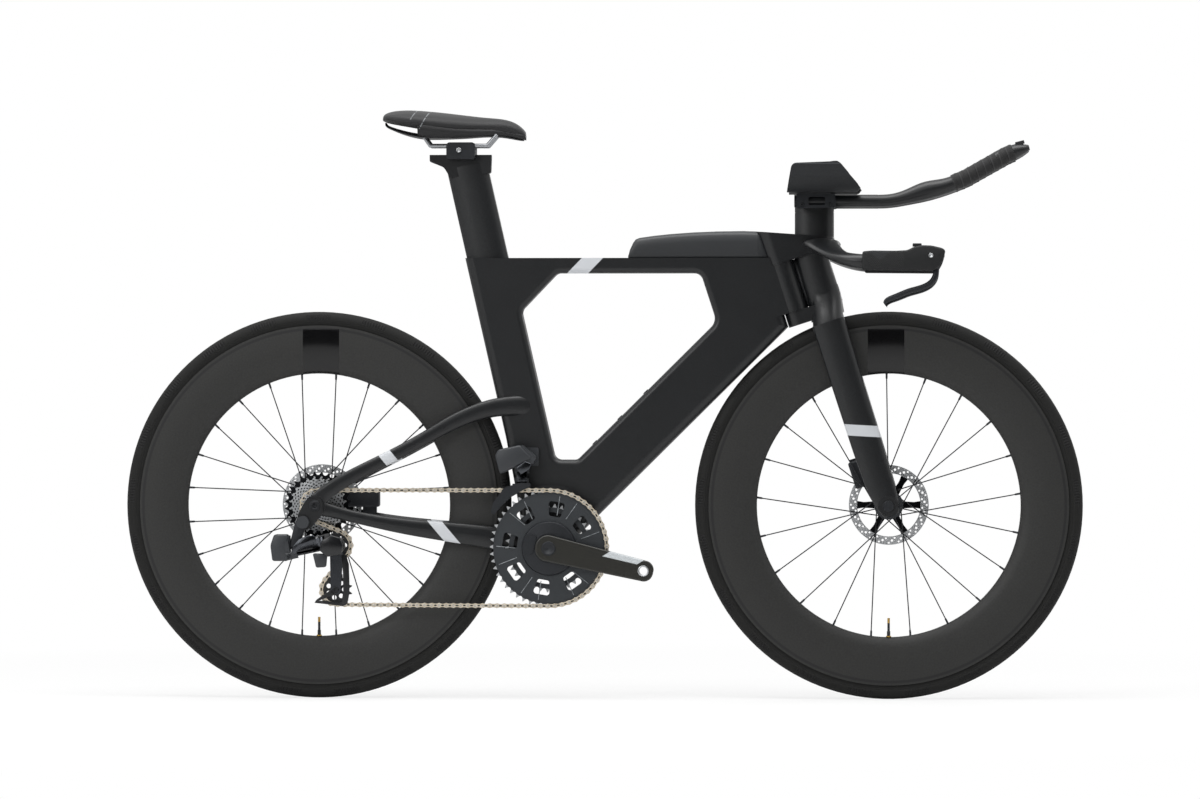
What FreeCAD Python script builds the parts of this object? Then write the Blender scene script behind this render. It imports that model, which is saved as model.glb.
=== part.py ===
import FreeCAD, Part
import math
import os
from FreeCAD import Placement, Rotation, Vector

# Time trial bike, in millimetres.
# X points forward, Y to the left and Z up; the origin is on the ground, midway between the axles.

SIZES = {
    # wheels
    "wheelbase": 1000.0,
    "tyre_radius": 339.0,
    "tyre_width": 28.0,
    "tyre_wall": 2.8,
    "rim_outer_radius": 315.0,
    "rim_depth": 84.6,
    "rim_width": 30.4,
    "rim_wall": 2.4,
    "spoke_radius": 1.0,
    "front_spoke_groups": 7,
    "rear_spoke_groups": 8,
    "axle_radius": 6.0,
    "front_hub_spacing": 100.0,
    "rear_hub_spacing": 142.0,
    "rotor_radius": 70.0,
    "rotor_thickness": 1.8,
    "rotor_inset": 15.0,
    # fits shared by every pair of pieces
    "running_gap": 0.05,
    "sliding_gap": 0.15,
    "face_gap": 0.3,
    # frame
    "bb_drop": 74.5,
    "rear_centre_run": 407.8,
    "frame_thickness": 42.0,
    "seat_angle": 77.2,
    "seat_line_lead": 4.7,
    "seat_tube_chord": 76.5,
    "top_tube_top": 772.0,
    "top_tube_depth": 27.0,
    "down_tube_angle": 44.8,
    "down_tube_depth": 95.0,
    "head_box_depth": 137.0,
    "bb_shell_radius": 29.0,
    "bb_shell_width": 86.0,
    "bb_bearing_radius": 22.0,
    "bb_bearing_width": 11.0,
    "dropout_thickness": 8.0,
    # steering
    "head_angle": 72.0,
    "fork_rake": 50.0,
    "head_tube_radius": 23.5,
    "head_tube_low": 373.5,
    "head_tube_high": 461.0,
    "steerer_radius": 12.7,
    "head_bearing_radius": 18.5,
    "head_bearing_width": 8.0,
    "crown_low": 349.0,
    "crown_radius": 19.5,
    "stem_radius": 24.0,
    "steering_gap": 1.0,
    # cranks, rings and chain
    "crank_length": 170.0,
    "crank_drop_angle": 13.2,
    "crank_thickness": 12.6,
    "crank_outer_face": 72.6,
    "spindle_radius": 14.5,
    "pedal_hole_radius": 7.14,
    "chain_pitch": 12.7,
    "chain_line": 49.0,
    "roller_radius": 3.85,
    "ring_teeth": 50,
    "inner_ring_teeth": 37,
    "ring_spacing": 8.0,
    "tooth_thickness": 1.7,
    "sprocket_step": 3.65,
    "freehub_radius": 14.5,
    "guide_teeth": 12,
    "tension_teeth": 13,
    "cage_length": 77.4,
    # cockpit
    "bar_half_width": 190.0,
    "bar_end_radius": 11.9,
    "extension_radius": 11.1,
    "extension_half_spacing": 50.0,
    "extension_height": 870.2,
    "cup_half_spacing": 78.0,
    "button_travel": 1.5,
    # seat
    "post_chord": 72.0,
    "post_thickness": 27.0,
    "post_insertion": 110.0,
    "post_down_travel": 60.0,
    "rail_radius": 3.5,
    "rail_half_spacing": 22.0,
    "rail_height": 968.7,
}

doc = FreeCAD.newDocument("time_trial_bike")
sheet = doc.addObject("Spreadsheet::Sheet", "sizes")
for row, (alias, amount) in enumerate(SIZES.items(), start=1):
    sheet.set(f"A{row}", alias)
    sheet.set(f"B{row}", str(amount))
    sheet.setAlias(f"B{row}", alias)
doc.recompute()


class Size(float):
    """A number that also carries the sheet expression it comes from."""

    def __new__(cls, amount, text):
        made = float.__new__(cls, amount)
        made.text = text
        return made

    def joined(self, other, sign, amount):
        return Size(amount, f"({self.text} {sign} {text_of(other)})")

    def __add__(self, other):
        return self.joined(other, "+", float(self) + float(other))

    def __sub__(self, other):
        return self.joined(other, "-", float(self) - float(other))

    def __mul__(self, other):
        return self.joined(other, "*", float(self) * float(other))

    def __truediv__(self, other):
        return self.joined(other, "/", float(self) / float(other))

    def __neg__(self):
        return Size(-float(self), f"(0 - {self.text})")


def text_of(amount):
    return amount.text if isinstance(amount, Size) else repr(float(amount))


class Sheet:
    """Reads a cell of the sheet by its alias."""

    def __getattr__(self, alias):
        return Size(float(sheet.get(alias)), f"sizes.{alias}")


d = Sheet()
pieces = {}
Y_AXIS = Vector(0, 1, 0)
Z_AXIS = Vector(0, 0, 1)


# helpers

def bind(item, setting, amount):
    if isinstance(amount, Size):
        item.setExpression(setting, amount.text)
    else:
        setattr(item, setting, amount)


def place(item, x=0.0, y=0.0, z=0.0, rotation=None):
    if rotation is not None:
        item.Placement = Placement(Vector(0, 0, 0), rotation)
    base = item.Placement
    base.Base = Vector(float(x), float(y), float(z))
    item.Placement = base
    for name, amount in (("x", x), ("y", y), ("z", z)):
        if isinstance(amount, Size):
            item.setExpression(f"Placement.Base.{name}", amount.text)
    return item


def keep(label, item):
    item.Label = label
    pieces[label] = item
    return item


def feature(name, shape, placement=None):
    item = doc.addObject("Part::Feature", name)
    item.Shape = shape
    if placement is not None:
        item.Placement = placement
    return item


def rod(name, radius, length, x, y, z):
    """A cylinder along Y, from y towards the left."""
    item = doc.addObject("Part::Cylinder", name)
    bind(item, "Radius", radius)
    bind(item, "Height", length)
    return place(item, x, y, z, Rotation(Vector(1, 0, 0), -90))


def fused(name, items):
    item = doc.addObject("Part::MultiFuse", name)
    item.Shapes = items
    item.Refine = True
    return item


def fused_in_turn(name, items):
    """Unions one after another, for forms that a single union of all can't join."""
    whole = items[0]
    for step, item in enumerate(items[1:], start=1):
        union = doc.addObject("Part::Fuse", f"{name}_{step}")
        union.Base = whole
        union.Tool = item
        union.Refine = False
        whole = union
    return whole


def cut(name, base, tool):
    item = doc.addObject("Part::Cut", name)
    item.Base = base
    item.Tool = tool
    return item


def origin_plane(body, role):
    return [f for f in body.Origin.OriginFeatures if f.Role == role][0]


def new_sketch(body, name, role):
    sketch = body.newObject("Sketcher::SketchObject", name)
    sketch.AttachmentSupport = [(origin_plane(body, role), "")]
    sketch.MapMode = "FlatFace"
    return sketch


def rounded_edges(corners):
    """Lines and arcs round a closed outline; a corner is (x, y) or (x, y, radius)."""
    count = len(corners)
    points = [Vector(float(c[0]), float(c[1]), 0) for c in corners]
    starts, ends, arcs = [], [], []
    for i in range(count):
        here = points[i]
        radius = float(corners[i][2]) if len(corners[i]) > 2 else 0.0
        if radius <= 0:
            starts.append(here)
            ends.append(here)
            arcs.append(None)
            continue
        back = (points[i - 1] - here).normalize()
        ahead = (points[(i + 1) % count] - here).normalize()
        half = back.getAngle(ahead) / 2
        reach = radius / math.tan(half)
        middle = (back + ahead).normalize()
        centre = here + middle * (radius / math.sin(half))
        starts.append(here + back * reach)
        ends.append(here + ahead * reach)
        arcs.append(Part.Arc(starts[i], centre - middle * radius, ends[i]))
    edges = []
    for i in range(count):
        if arcs[i] is not None:
            edges.append(arcs[i])
        following = (i + 1) % count
        if (starts[following] - ends[i]).Length > 1e-6:
            edges.append(Part.LineSegment(ends[i], starts[following]))
    return edges


def outline_face(corners, holes=()):
    """A flat face in the XZ plane from a closed outline and round holes (x, z, radius)."""
    turn = Placement(Vector(0, 0, 0), Rotation(Vector(1, 0, 0), 90))
    wire = Part.Wire([edge.toShape() for edge in rounded_edges(corners)])
    face = Part.Face(wire)
    for x, z, radius in holes:
        face = face.cut(Part.Face(Part.Wire(Part.makeCircle(float(radius), Vector(float(x), float(z), 0)))))
    face.Placement = turn
    return face


def slab(corners, low, high, holes=()):
    """The outline in the XZ plane, from y low to y high."""
    face = outline_face(corners, holes)
    face.translate(Vector(0, float(low), 0))
    return face.extrude(Vector(0, float(high) - float(low), 0))


def plate(label, corners, thickness, y, holes=(), rounding=0.0):
    """A sketched outline padded evenly to both sides of y, with its face edges rounded."""
    body = doc.addObject("PartDesign::Body", label)
    sketch = new_sketch(body, label + "_outline", "XZ_Plane")
    for edge in rounded_edges(corners):
        sketch.addGeometry(edge, False)
    for x, z, radius in holes:
        sketch.addGeometry(Part.Circle(Vector(float(x), float(z), 0), Z_AXIS, float(radius)), False)
    pad = body.newObject("PartDesign::Pad", label + "_pad")
    pad.Profile = sketch
    pad.SideType = "Symmetric"
    bind(pad, "Length", thickness)
    place(body, 0.0, y, 0.0)
    doc.recompute()
    if rounding > 0:
        flat = [f"Edge{i}" for i, e in enumerate(pad.Shape.Edges, start=1) if e.BoundBox.YLength < 1e-6]
        fillet = body.newObject("PartDesign::Fillet", label + "_rounded")
        fillet.Base = (pad, flat)
        fillet.Radius = rounding
    return body


def turned(label, corners, x, z):
    """A profile of (radius, y) corners turned about an axle along Y at x, z."""
    body = doc.addObject("PartDesign::Body", label)
    sketch = new_sketch(body, label + "_profile", "XY_Plane")
    for edge in rounded_edges(corners):
        sketch.addGeometry(edge, False)
    turn = body.newObject("PartDesign::Revolution", label + "_turned")
    turn.Profile = sketch
    turn.ReferenceAxis = (sketch, ["V_Axis"])
    turn.Angle = 360
    place(body, x, 0.0, z)
    return body


def oval(centre, across, up, half_width, half_height, fullness=2.0, lean=0.0):
    """A closed smooth section; fullness above 2 squares it, lean makes one end finer."""
    points = []
    for step in range(16):
        angle = 2 * math.pi * step / 16
        c, s = math.cos(angle), math.sin(angle)
        u = math.copysign(abs(c) ** (2 / fullness), c)
        v = math.copysign(abs(s) ** (2 / fullness), s) * (1 + lean * u)
        points.append(centre + across * (half_width * u) + up * (half_height * v))
    curve = Part.BSplineCurve()
    curve.interpolate(Points=points, PeriodicFlag=True)
    return Part.Wire(curve.toShape())


def lofted(stations, fullness=2.0, lean=0.0, level=Z_AXIS):
    """A smooth tube through (centre, half width, half height) stations, square to its path."""
    centres = [s[0] for s in stations]
    wires = []
    for i, (centre, half_width, half_height) in enumerate(stations):
        before = centres[max(i - 1, 0)]
        after = centres[min(i + 1, len(centres) - 1)]
        along = (after - before).normalize()
        across = along.cross(level).normalize()
        up = across.cross(along).normalize()
        wires.append(oval(centre, across, up, float(half_width), float(half_height), fullness, lean))
    return Part.makeLoft(wires, True, False)


def stacked(sections, fullness=2.0, lean=0.0):
    """A smooth body through level sections (x, y, z, half length, half width)."""
    wires = []
    for x, y, z, half_length, half_width in sections:
        wires.append(oval(Vector(x, y, z), Vector(1, 0, 0), Y_AXIS, half_length, half_width, fullness, lean))
    return Part.makeLoft(wires, True, False)


def block(x0, x1, y0, y1, z0, z1):
    corner = Vector(float(x0), float(y0), float(z0))
    return Part.makeBox(float(x1 - x0), float(y1 - y0), float(z1 - z0), corner)


def pin(radius, start, end):
    start, end = Vector(*map(float, start)), Vector(*map(float, end))
    way = end - start
    return Part.makeCylinder(float(radius), way.Length, start, way)


def mirrored(shape):
    return shape.mirror(Vector(0, 0, 0), Y_AXIS)


def joined(shapes):
    whole = shapes[0]
    for shape in shapes[1:]:
        whole = whole.fuse(shape)
    return whole.removeSplitter()


# points that several pieces share

rear_x = -(d.wheelbase / 2)
front_x = d.wheelbase / 2
axle_z = d.tyre_radius
bb_x = rear_x + d.rear_centre_run
bb_z = axle_z - d.bb_drop
steer_turn = Rotation(Y_AXIS, float(d.head_angle) - 90)
steer_ahead = steer_turn.multVec(Vector(1, 0, 0))
steer_up = steer_turn.multVec(Z_AXIS)
steer_base = Vector(front_x, 0, axle_z) - steer_ahead * float(d.fork_rake)
steering = Placement(steer_base, steer_turn)
seat_lean = math.radians(float(d.seat_angle))
seat_up = Vector(-math.cos(seat_lean), 0, math.sin(seat_lean))
seat_ahead = Vector(math.sin(seat_lean), 0, math.cos(seat_lean))


def steer(ahead, up, y=0.0):
    """A point given ahead of and along the steering axis."""
    return steering.multVec(Vector(ahead, y, up))


def seat_line(z):
    """Middle of the seat tube at a height."""
    return float(bb_x) + float(d.seat_line_lead) - (z - float(bb_z)) / math.tan(seat_lean)


def crossing(p, along, q, across):
    """Where two lines in the XZ plane meet, each given by a point and a direction."""
    det = along.x * across.z - along.z * across.x
    way = ((q.x - p.x) * across.z - (q.z - p.z) * across.x) / det
    return p + along * way


# main frame

half_chord = float(d.seat_tube_chord) / 2 / math.sin(seat_lean)
top_z = float(d.top_tube_top)
under_z = top_z - float(d.top_tube_depth)
down_lean = math.radians(float(d.down_tube_angle))
down_way = Vector(math.cos(down_lean), 0, math.sin(down_lean))
down_up = Vector(-math.sin(down_lean), 0, math.cos(down_lean))
head_low_back = steer(-float(d.crown_radius) - float(d.steering_gap), float(d.crown_low) + 2)
down_top = head_low_back + down_up * float(d.down_tube_depth)
tyre_cut = float(d.tyre_radius) + 11
level = Vector(1, 0, 0)
seat_front = Vector(seat_line(500) + half_chord, 0, 500)
seat_back = Vector(seat_line(500) - half_chord, 0, 500)
head_back = steer(-float(d.head_box_depth), 400)
floor_z = float(bb_z) + 154


def flat(point, radius=0.0):
    return (point.x, point.z, radius)


def seat_tube_wheel_point():
    """Where the seat tube's rear edge runs into the wheel clearance."""
    z = float(axle_z) + 118
    return Vector(float(rear_x) + math.sqrt(tyre_cut ** 2 - 118 ** 2), 0, z)


wheel_side = seat_tube_wheel_point()
top_back = crossing(seat_back, seat_up, Vector(0, 0, top_z), level)
down_low = crossing(head_low_back, down_way, Vector(0, 0, float(bb_z) + 20), level)
frame_outline = [
    flat(top_back),
    flat(crossing(steer(8, 400), steer_up, Vector(0, 0, top_z), level)),
    flat(steer(8, float(d.head_tube_low))),
    flat(steer(-float(d.crown_radius) - 1, float(d.head_tube_low))),
    flat(head_low_back),
    flat(down_low, 60),
    (float(bb_x) - 6, float(bb_z) - 20, 24),
    (float(bb_x) - 48, float(bb_z) + 18, 20),
    (float(rear_x) + tyre_cut, float(axle_z) + 10, 60),
    flat(wheel_side, 200),
]
opening = [
    flat(crossing(Vector(0, 0, under_z), level, seat_front + Vector(0, 0, 0), seat_up) + Vector(78, 0, 0), 14),
    flat(crossing(Vector(0, 0, under_z), level, head_back, steer_up), 16),
    flat(crossing(head_back, steer_up, down_top, down_way), 22),
    flat(crossing(down_top, down_way, Vector(0, 0, floor_z), level), 14),
    flat(crossing(seat_front, seat_up, Vector(0, 0, floor_z), level), 14),
    flat(crossing(seat_front, seat_up, Vector(0, 0, under_z - 66), level), 14),
]
triangle = doc.addObject("PartDesign::Body", "front_triangle")
triangle_sketch = new_sketch(triangle, "front_triangle_outline", "XZ_Plane")
for edge in rounded_edges(frame_outline) + rounded_edges(opening):
    triangle_sketch.addGeometry(edge, False)
triangle_pad = triangle.newObject("PartDesign::Pad", "front_triangle_pad")
triangle_pad.Profile = triangle_sketch
triangle_pad.SideType = "Symmetric"
bind(triangle_pad, "Length", d.frame_thickness)
doc.recompute()


def face_edges(shape, test):
    """Names of the edges that lie in a side face and pass the test on their middle."""
    names = []
    for i, e in enumerate(shape.Edges, start=1):
        if e.BoundBox.YLength < 1e-6:
            middle = e.valueAt((e.FirstParameter + e.LastParameter) / 2)
            if test(middle):
                names.append(f"Edge{i}")
    return names


def inside_opening(p):
    return under_z + 3 > p.z > floor_z - 3 and seat_line(p.z) + half_chord - 3 < p.x < head_back.x + 90 \
        and (p - down_top).dot(down_up) > -3


def on_outer_rim(p):
    """The outline from the head round the bottom bracket and up the back of the seat tube."""
    return not inside_opening(p) and p.z < top_z - 3 and p.x < head_low_back.x - 1


triangle_fillets = [("opening", inside_opening, 10.0), ("outer_rim", on_outer_rim, 15.0)]
for name, test, radius in triangle_fillets:
    base = triangle.Tip
    fillet = triangle.newObject("PartDesign::Fillet", f"front_triangle_{name}_rounded")
    fillet.Base = (base, face_edges(base.Shape, test))
    fillet.Radius = radius
    doc.recompute()

seat_stay_run = [
    (Vector(-116, 12, 511), 6.5, 16.5),
    (Vector(-180, 22, 511), 8.5, 16.5),
    (Vector(-225, 29.5, 500), 8, 14.5),
    (Vector(-299, 41, 463), 7.5, 12),
    (Vector(-394, 57, 412), 7, 11.5),
    (Vector(-462, 69.5, 375), 5.4, 12.5),
    (Vector(-497, 75.4, 347), 3.2, 14),
]
chain_stay_run = [
    (Vector(-100, 26, 268), 9, 20),
    (Vector(-160, 25.6, 277), 6.6, 20),
    (Vector(-200, 27, 283), 7.2, 19.5),
    (Vector(-274, 36, 293), 7.8, 17),
    (Vector(-364, 51, 305.5), 7.4, 13),
    (Vector(-450, 67.5, 323.5), 5.4, 10.5),
    (Vector(-497, 75.4, 336), 3.2, 13.4),
]
rear_shift = Vector(float(rear_x) + 500, 0, float(axle_z) - 339)


def moved(run, shift):
    return [(p + shift, a, b) for p, a, b in run]


seat_stay = lofted(moved(seat_stay_run, rear_shift), 2.6)
chain_stay = lofted(moved(chain_stay_run, rear_shift), 2.6)
stay_shapes = [seat_stay, chain_stay, mirrored(seat_stay), mirrored(chain_stay)]
rear_face = d.rear_hub_spacing / 2
stays = [feature(f"stay_{i}", s) for i, s in enumerate(stay_shapes)]
left_dropout = rod("left_dropout", d.axle_radius + 12, d.dropout_thickness, rear_x, rear_face, axle_z)
right_dropout = rod("right_dropout", d.axle_radius + 12, d.dropout_thickness, rear_x,
                    -(rear_face + d.dropout_thickness), axle_z)
bb_shell = rod("bb_shell", d.bb_shell_radius, d.bb_shell_width, bb_x, -(d.bb_shell_width / 2), bb_z)
bb_flare = feature("bb_flare", stacked([
    (float(bb_x) + 3, 0, float(bb_z) - 8, 24, 40),
    (float(bb_x) + 4, 0, float(bb_z) + 40, 42, 31),
    (float(bb_x) + 6, 0, float(bb_z) + 118, 52, 20),
], 3.0))
head_length = d.head_tube_high - d.head_tube_low
head_tube = doc.addObject("Part::Cylinder", "head_tube")
bind(head_tube, "Radius", d.head_tube_radius)
bind(head_tube, "Height", head_length)
head_tube.Placement = Placement(steer(0, float(d.head_tube_low)), steer_turn)


def steer_rod(radius, low, high):
    return pin(radius, steer(0, low), steer(0, high))


post_half_chord = float(d.post_chord) / 2
post_half_width = float(d.post_thickness) / 2
post_bottom = Vector(seat_line(top_z), 0, top_z) - seat_up * float(d.post_insertion)


def post_section(at, grow=0.0):
    return oval(at, seat_ahead, Y_AXIS, post_half_chord + grow, post_half_width + grow, 2.2, 0.12)


slot_bottom = post_bottom - seat_up * (float(d.post_down_travel) + 2)
slot_length = float(d.post_insertion) + float(d.post_down_travel) + 40
post_slot = Part.Face(post_section(slot_bottom, float(d.sliding_gap))).extrude(seat_up * slot_length)
boss_radius = 2.5
wedge_at = Vector(seat_line(top_z - 40), 0, top_z - 40) + seat_ahead * (post_half_chord + float(d.sliding_gap))
wedge_bore = pin(5.0 + float(d.sliding_gap), wedge_at - seat_ahead * 3, wedge_at + seat_ahead * 8)
bosses = []
boss_holes = []
for along in (-14.5, 29.4, 75.0):
    foot = crossing(down_top, down_way, Vector(along, 0, 0), Z_AXIS)
    bosses.append(pin(5.5, foot - down_up * 4, foot + down_up * 1.5))
    boss_holes.append(pin(boss_radius, foot - down_up * 12, foot + down_up * 3))
bearing_low = float(d.head_tube_low)
bearing_high = float(d.head_tube_high)
bearing_deep = float(d.head_bearing_width)
frame_cuts = [
    steer_rod(float(d.stem_radius) + float(d.steering_gap), bearing_high, bearing_high + 80),
    steer_rod(float(d.steerer_radius) + 1.3, bearing_low - 5, bearing_high + 5),
    steer_rod(float(d.head_bearing_radius), bearing_low - 1, bearing_low + bearing_deep),
    steer_rod(float(d.head_bearing_radius), bearing_high - bearing_deep, bearing_high + 1),
    pin(d.bb_bearing_radius, (bb_x, -60, bb_z), (bb_x, 60, bb_z)),
    pin(d.axle_radius + d.running_gap, (rear_x, -100, axle_z), (rear_x, 100, axle_z)),
    post_slot,
    wedge_bore,
] + boss_holes
boss_items = [feature(f"boss_{i}", b) for i, b in enumerate(bosses)]
frame_items = [triangle, bb_shell, bb_flare, head_tube, stays[0], stays[2], stays[1], stays[3]]
frame_whole = fused_in_turn("frame_whole", frame_items + [left_dropout, right_dropout] + boss_items)
keep("main_frame", cut("main_frame", frame_whole, feature("frame_bores", frame_cuts[0].fuse(frame_cuts[1:]))))

# bearings, wedge, hanger and rear axle

bb_rings = []
for side in (-1, 1):
    outer = float(d.bb_shell_width) / 2
    ring = pin(d.bb_bearing_radius, (bb_x, side * (outer - float(d.bb_bearing_width)), bb_z), (bb_x, side * outer, bb_z))
    bore = pin(d.spindle_radius + d.running_gap, (bb_x, -70, bb_z), (bb_x, 70, bb_z))
    bb_rings.append(ring.cut(bore))
keep("bottom_bracket_bearings", feature("bottom_bracket_bearings", Part.makeCompound(bb_rings)))

head_rings = []
for low in (bearing_low, bearing_high - bearing_deep):
    ring = steer_rod(float(d.head_bearing_radius), low, low + bearing_deep)
    head_rings.append(ring.cut(steer_rod(float(d.steerer_radius) + float(d.running_gap), low - 2, low + 12)))
keep("headset_bearings", feature("headset_bearings", Part.makeCompound(head_rings)))

wedge = pin(5.0, wedge_at + seat_ahead * 0.1, wedge_at + seat_ahead * 7.9)
keep("seatpost_wedge", feature("seatpost_wedge", wedge))

hanger_x, hanger_z = float(rear_x) - 20.1, float(axle_z) - 28.7
hanger_out = float(rear_face) + float(d.dropout_thickness)
hanger_corners = [
    (float(rear_x) - 15, float(axle_z) + 11, 8),
    (float(rear_x) + 14, float(axle_z) + 12, 8),
    (float(rear_x) + 14, float(axle_z) - 14, 8),
    (hanger_x + 12, hanger_z - 12, 8),
    (hanger_x - 11, hanger_z - 11, 8),
    (hanger_x - 9, hanger_z + 14, 8),
]
hanger_holes = [(rear_x, axle_z, d.axle_radius + d.running_gap), (hanger_x, hanger_z, 5.0 + float(d.running_gap))]
hanger = slab(hanger_corners, -hanger_out - 5, -hanger_out, hanger_holes)
keep("derailleur_hanger", feature("derailleur_hanger", hanger))

hanger_outer = -hanger_out - 5
rear_axle_profile = [
    (0, -hanger_out - 7.5),
    (9.5, -hanger_out - 7.5, 1),
    (9.5, hanger_outer),
    (d.axle_radius, hanger_outer),
    (d.axle_radius, hanger_out),
    (9, hanger_out),
    (9, hanger_out + 3, 1),
    (0, hanger_out + 3),
]
rear_axle = turned("rear_thru_axle", rear_axle_profile, rear_x, axle_z)
keep("rear_thru_axle", rear_axle)


# wheels

def tyre(label, x):
    outer, half, wall = float(d.tyre_radius), float(d.tyre_width) / 2, float(d.tyre_wall)
    middle = outer - half
    bead = float(d.rim_outer_radius) - 3.0
    lip = float(d.rim_outer_radius) + float(d.face_gap)
    body = doc.addObject("PartDesign::Body", label)
    sketch = new_sketch(body, label + "_profile", "XY_Plane")
    inner = half - wall
    foot = float(d.rim_width) / 2 - 3.3
    rings = [
        Part.Arc(Vector(middle, -half, 0), Vector(outer, 0, 0), Vector(middle, half, 0)),
        Part.LineSegment(Vector(middle, half, 0), Vector(lip, foot, 0)),
        Part.LineSegment(Vector(lip, foot, 0), Vector(bead, foot, 0)),
        Part.LineSegment(Vector(bead, foot, 0), Vector(bead, foot - wall, 0)),
        Part.LineSegment(Vector(bead, foot - wall, 0), Vector(middle, inner, 0)),
        Part.Arc(Vector(middle, inner, 0), Vector(middle + inner, 0, 0), Vector(middle, -inner, 0)),
        Part.LineSegment(Vector(middle, -inner, 0), Vector(bead, wall - foot, 0)),
        Part.LineSegment(Vector(bead, wall - foot, 0), Vector(bead, -foot, 0)),
        Part.LineSegment(Vector(bead, -foot, 0), Vector(lip, -foot, 0)),
        Part.LineSegment(Vector(lip, -foot, 0), Vector(middle, -half, 0)),
    ]
    for edge in rings:
        sketch.addGeometry(edge, False)
    turn = body.newObject("PartDesign::Revolution", label + "_turned")
    turn.Profile = sketch
    turn.ReferenceAxis = (sketch, ["V_Axis"])
    turn.Angle = 360
    keep(label, place(body, x, 0.0, axle_z))


def rim(label, x):
    """A deep hollow rim with a bed for the tyre, and a hole for the valve at the bottom."""
    outer, wall = float(d.rim_outer_radius), float(d.rim_wall)
    half = float(d.rim_width) / 2
    nose = outer - float(d.rim_depth)
    bed = outer - 3.3
    foot = half - 3.0

    def skin(inset):
        points = [
            Vector(outer - 6, half - 0.4 - inset, 0),
            Vector(outer - 30, half - inset, 0),
            Vector(nose + 24, half - 3.2 - inset, 0),
            Vector(nose + 6, half - 9 - inset, 0),
            Vector(nose + inset, 0, 0),
            Vector(nose + 6, inset + 9 - half, 0),
            Vector(nose + 24, inset + 3.2 - half, 0),
            Vector(outer - 30, inset - half, 0),
            Vector(outer - 6, inset + 0.4 - half, 0),
        ]
        curve = Part.BSplineCurve()
        curve.interpolate(Points=points)
        return curve.toShape(), points[0], points[-1]

    def line(*points):
        return [Part.makeLine(a, b) for a, b in zip(points, points[1:])]

    side, first, last = skin(0.0)
    rest = line(last, Vector(outer, -half + 0.6, 0), Vector(outer, -foot, 0), Vector(bed, -foot, 0),
                Vector(bed, foot, 0), Vector(outer, foot, 0), Vector(outer, half - 0.6, 0), first)
    whole = Part.Face(Part.Wire([side] + rest))
    side, first, last = skin(wall)
    hollow = Part.Face(Part.Wire([side] + line(last, first)))
    ring = whole.cut(hollow).revolve(Vector(0, 0, 0), Y_AXIS, 360)
    ring = ring.cut(pin(3.0 + float(d.running_gap), (0, 0, -nose + 8), (0, 0, -outer)))
    keep(label, feature(label, ring, Placement(Vector(x, 0, axle_z), Rotation())))


def valve(label, x):
    outer = float(d.rim_outer_radius)
    nose = outer - float(d.rim_depth)
    stem = pin(3.0, (0, 0, -outer + 3.9), (0, 0, -nose + 10))
    tip = pin(2.2, (0, 0, -nose + 10), (0, 0, -nose + 33))
    foot = pin(5.5, (0, 0, -outer + 3.2), (0, 0, -outer + 1.2))
    link = pin(3.0, (0, 0, -outer + 4.2), (0, 0, -outer + 2))
    keep(label, feature(label, joined([stem, tip, foot, link]), Placement(Vector(x, 0, axle_z), Rotation())))


def spokes(label, x, rows):
    """Spokes from rim to flange; a row is (rim angle, flange y, flange radius, lead, rim y)."""
    rim_end = float(d.rim_outer_radius) - float(d.rim_depth) + 2.0
    made = []
    for angle, flange_y, flange_radius, lead, rim_y in rows:
        at_rim, at_hub = math.radians(angle), math.radians(angle + lead)
        start = (rim_end * math.cos(at_rim), rim_y, rim_end * math.sin(at_rim))
        end = (flange_radius * math.cos(at_hub), flange_y, flange_radius * math.sin(at_hub))
        made.append(pin(d.spoke_radius, start, end))
    keep(label, feature(label, Part.makeCompound(made), Placement(Vector(x, 0, axle_z), Rotation())))


front_flange_right, front_flange_left = -33.0, 20.0
rear_flange_right, rear_flange_left = -13.5, 33.0
front_rows = []
front_step = 360 / float(d.front_spoke_groups)
for group in range(int(d.front_spoke_groups)):
    start = 5.2 + front_step * group
    front_rows.append((start, front_flange_left - 1.8, 22.0, -66, 1.0))
    front_rows.append((start + front_step / 3, front_flange_left + 1.8, 22.0, 66, 1.0))
    front_rows.append((start + 2 * front_step / 3, front_flange_right, 17.0, 0, -1.0))
rear_rows = []
rear_step = 360 / float(d.rear_spoke_groups)
for group in range(int(d.rear_spoke_groups)):
    start = 7.5 + rear_step * group
    turn_way = 1 if group % 2 == 0 else -1
    rear_rows.append((start, rear_flange_right - 1.8, 22.5, 66, -1.0))
    rear_rows.append((start + rear_step / 3, rear_flange_left + 1.8 * turn_way, 19.5, 66 * turn_way, 1.0))
    rear_rows.append((start + 2 * rear_step / 3, rear_flange_right + 1.8, 22.5, -66, -1.0))


def hub(label, x, left, right, flanges, rotor_y):
    """A hub shell with its two flanges and the seat of the rotor, on the axle."""
    bore = d.axle_radius + d.running_gap
    (right_y, right_r), (left_y, left_r) = flanges
    corners = [
        (bore, right),
        (9.5 if right < -40 else right_r - 6, right),
        (9.5 if right < -40 else right_r - 6, right_y - 3.4),
        (right_r, right_y - 3.2, 0.8),
        (right_r, right_y + 3.2, 0.8),
        (12.5, right_y + 9, 6),
        (12.5, left_y - 9, 6),
        (left_r, left_y - 3.2, 0.8),
        (left_r, left_y + 3.2, 0.8),
        (16.0, left_y + 3.4),
        (16.0, rotor_y + 3.5),
        (9.5, rotor_y + 3.6),
        (9.5, left),
        (bore, left),
    ]
    keep(label, turned(label, corners, x, axle_z))


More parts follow.
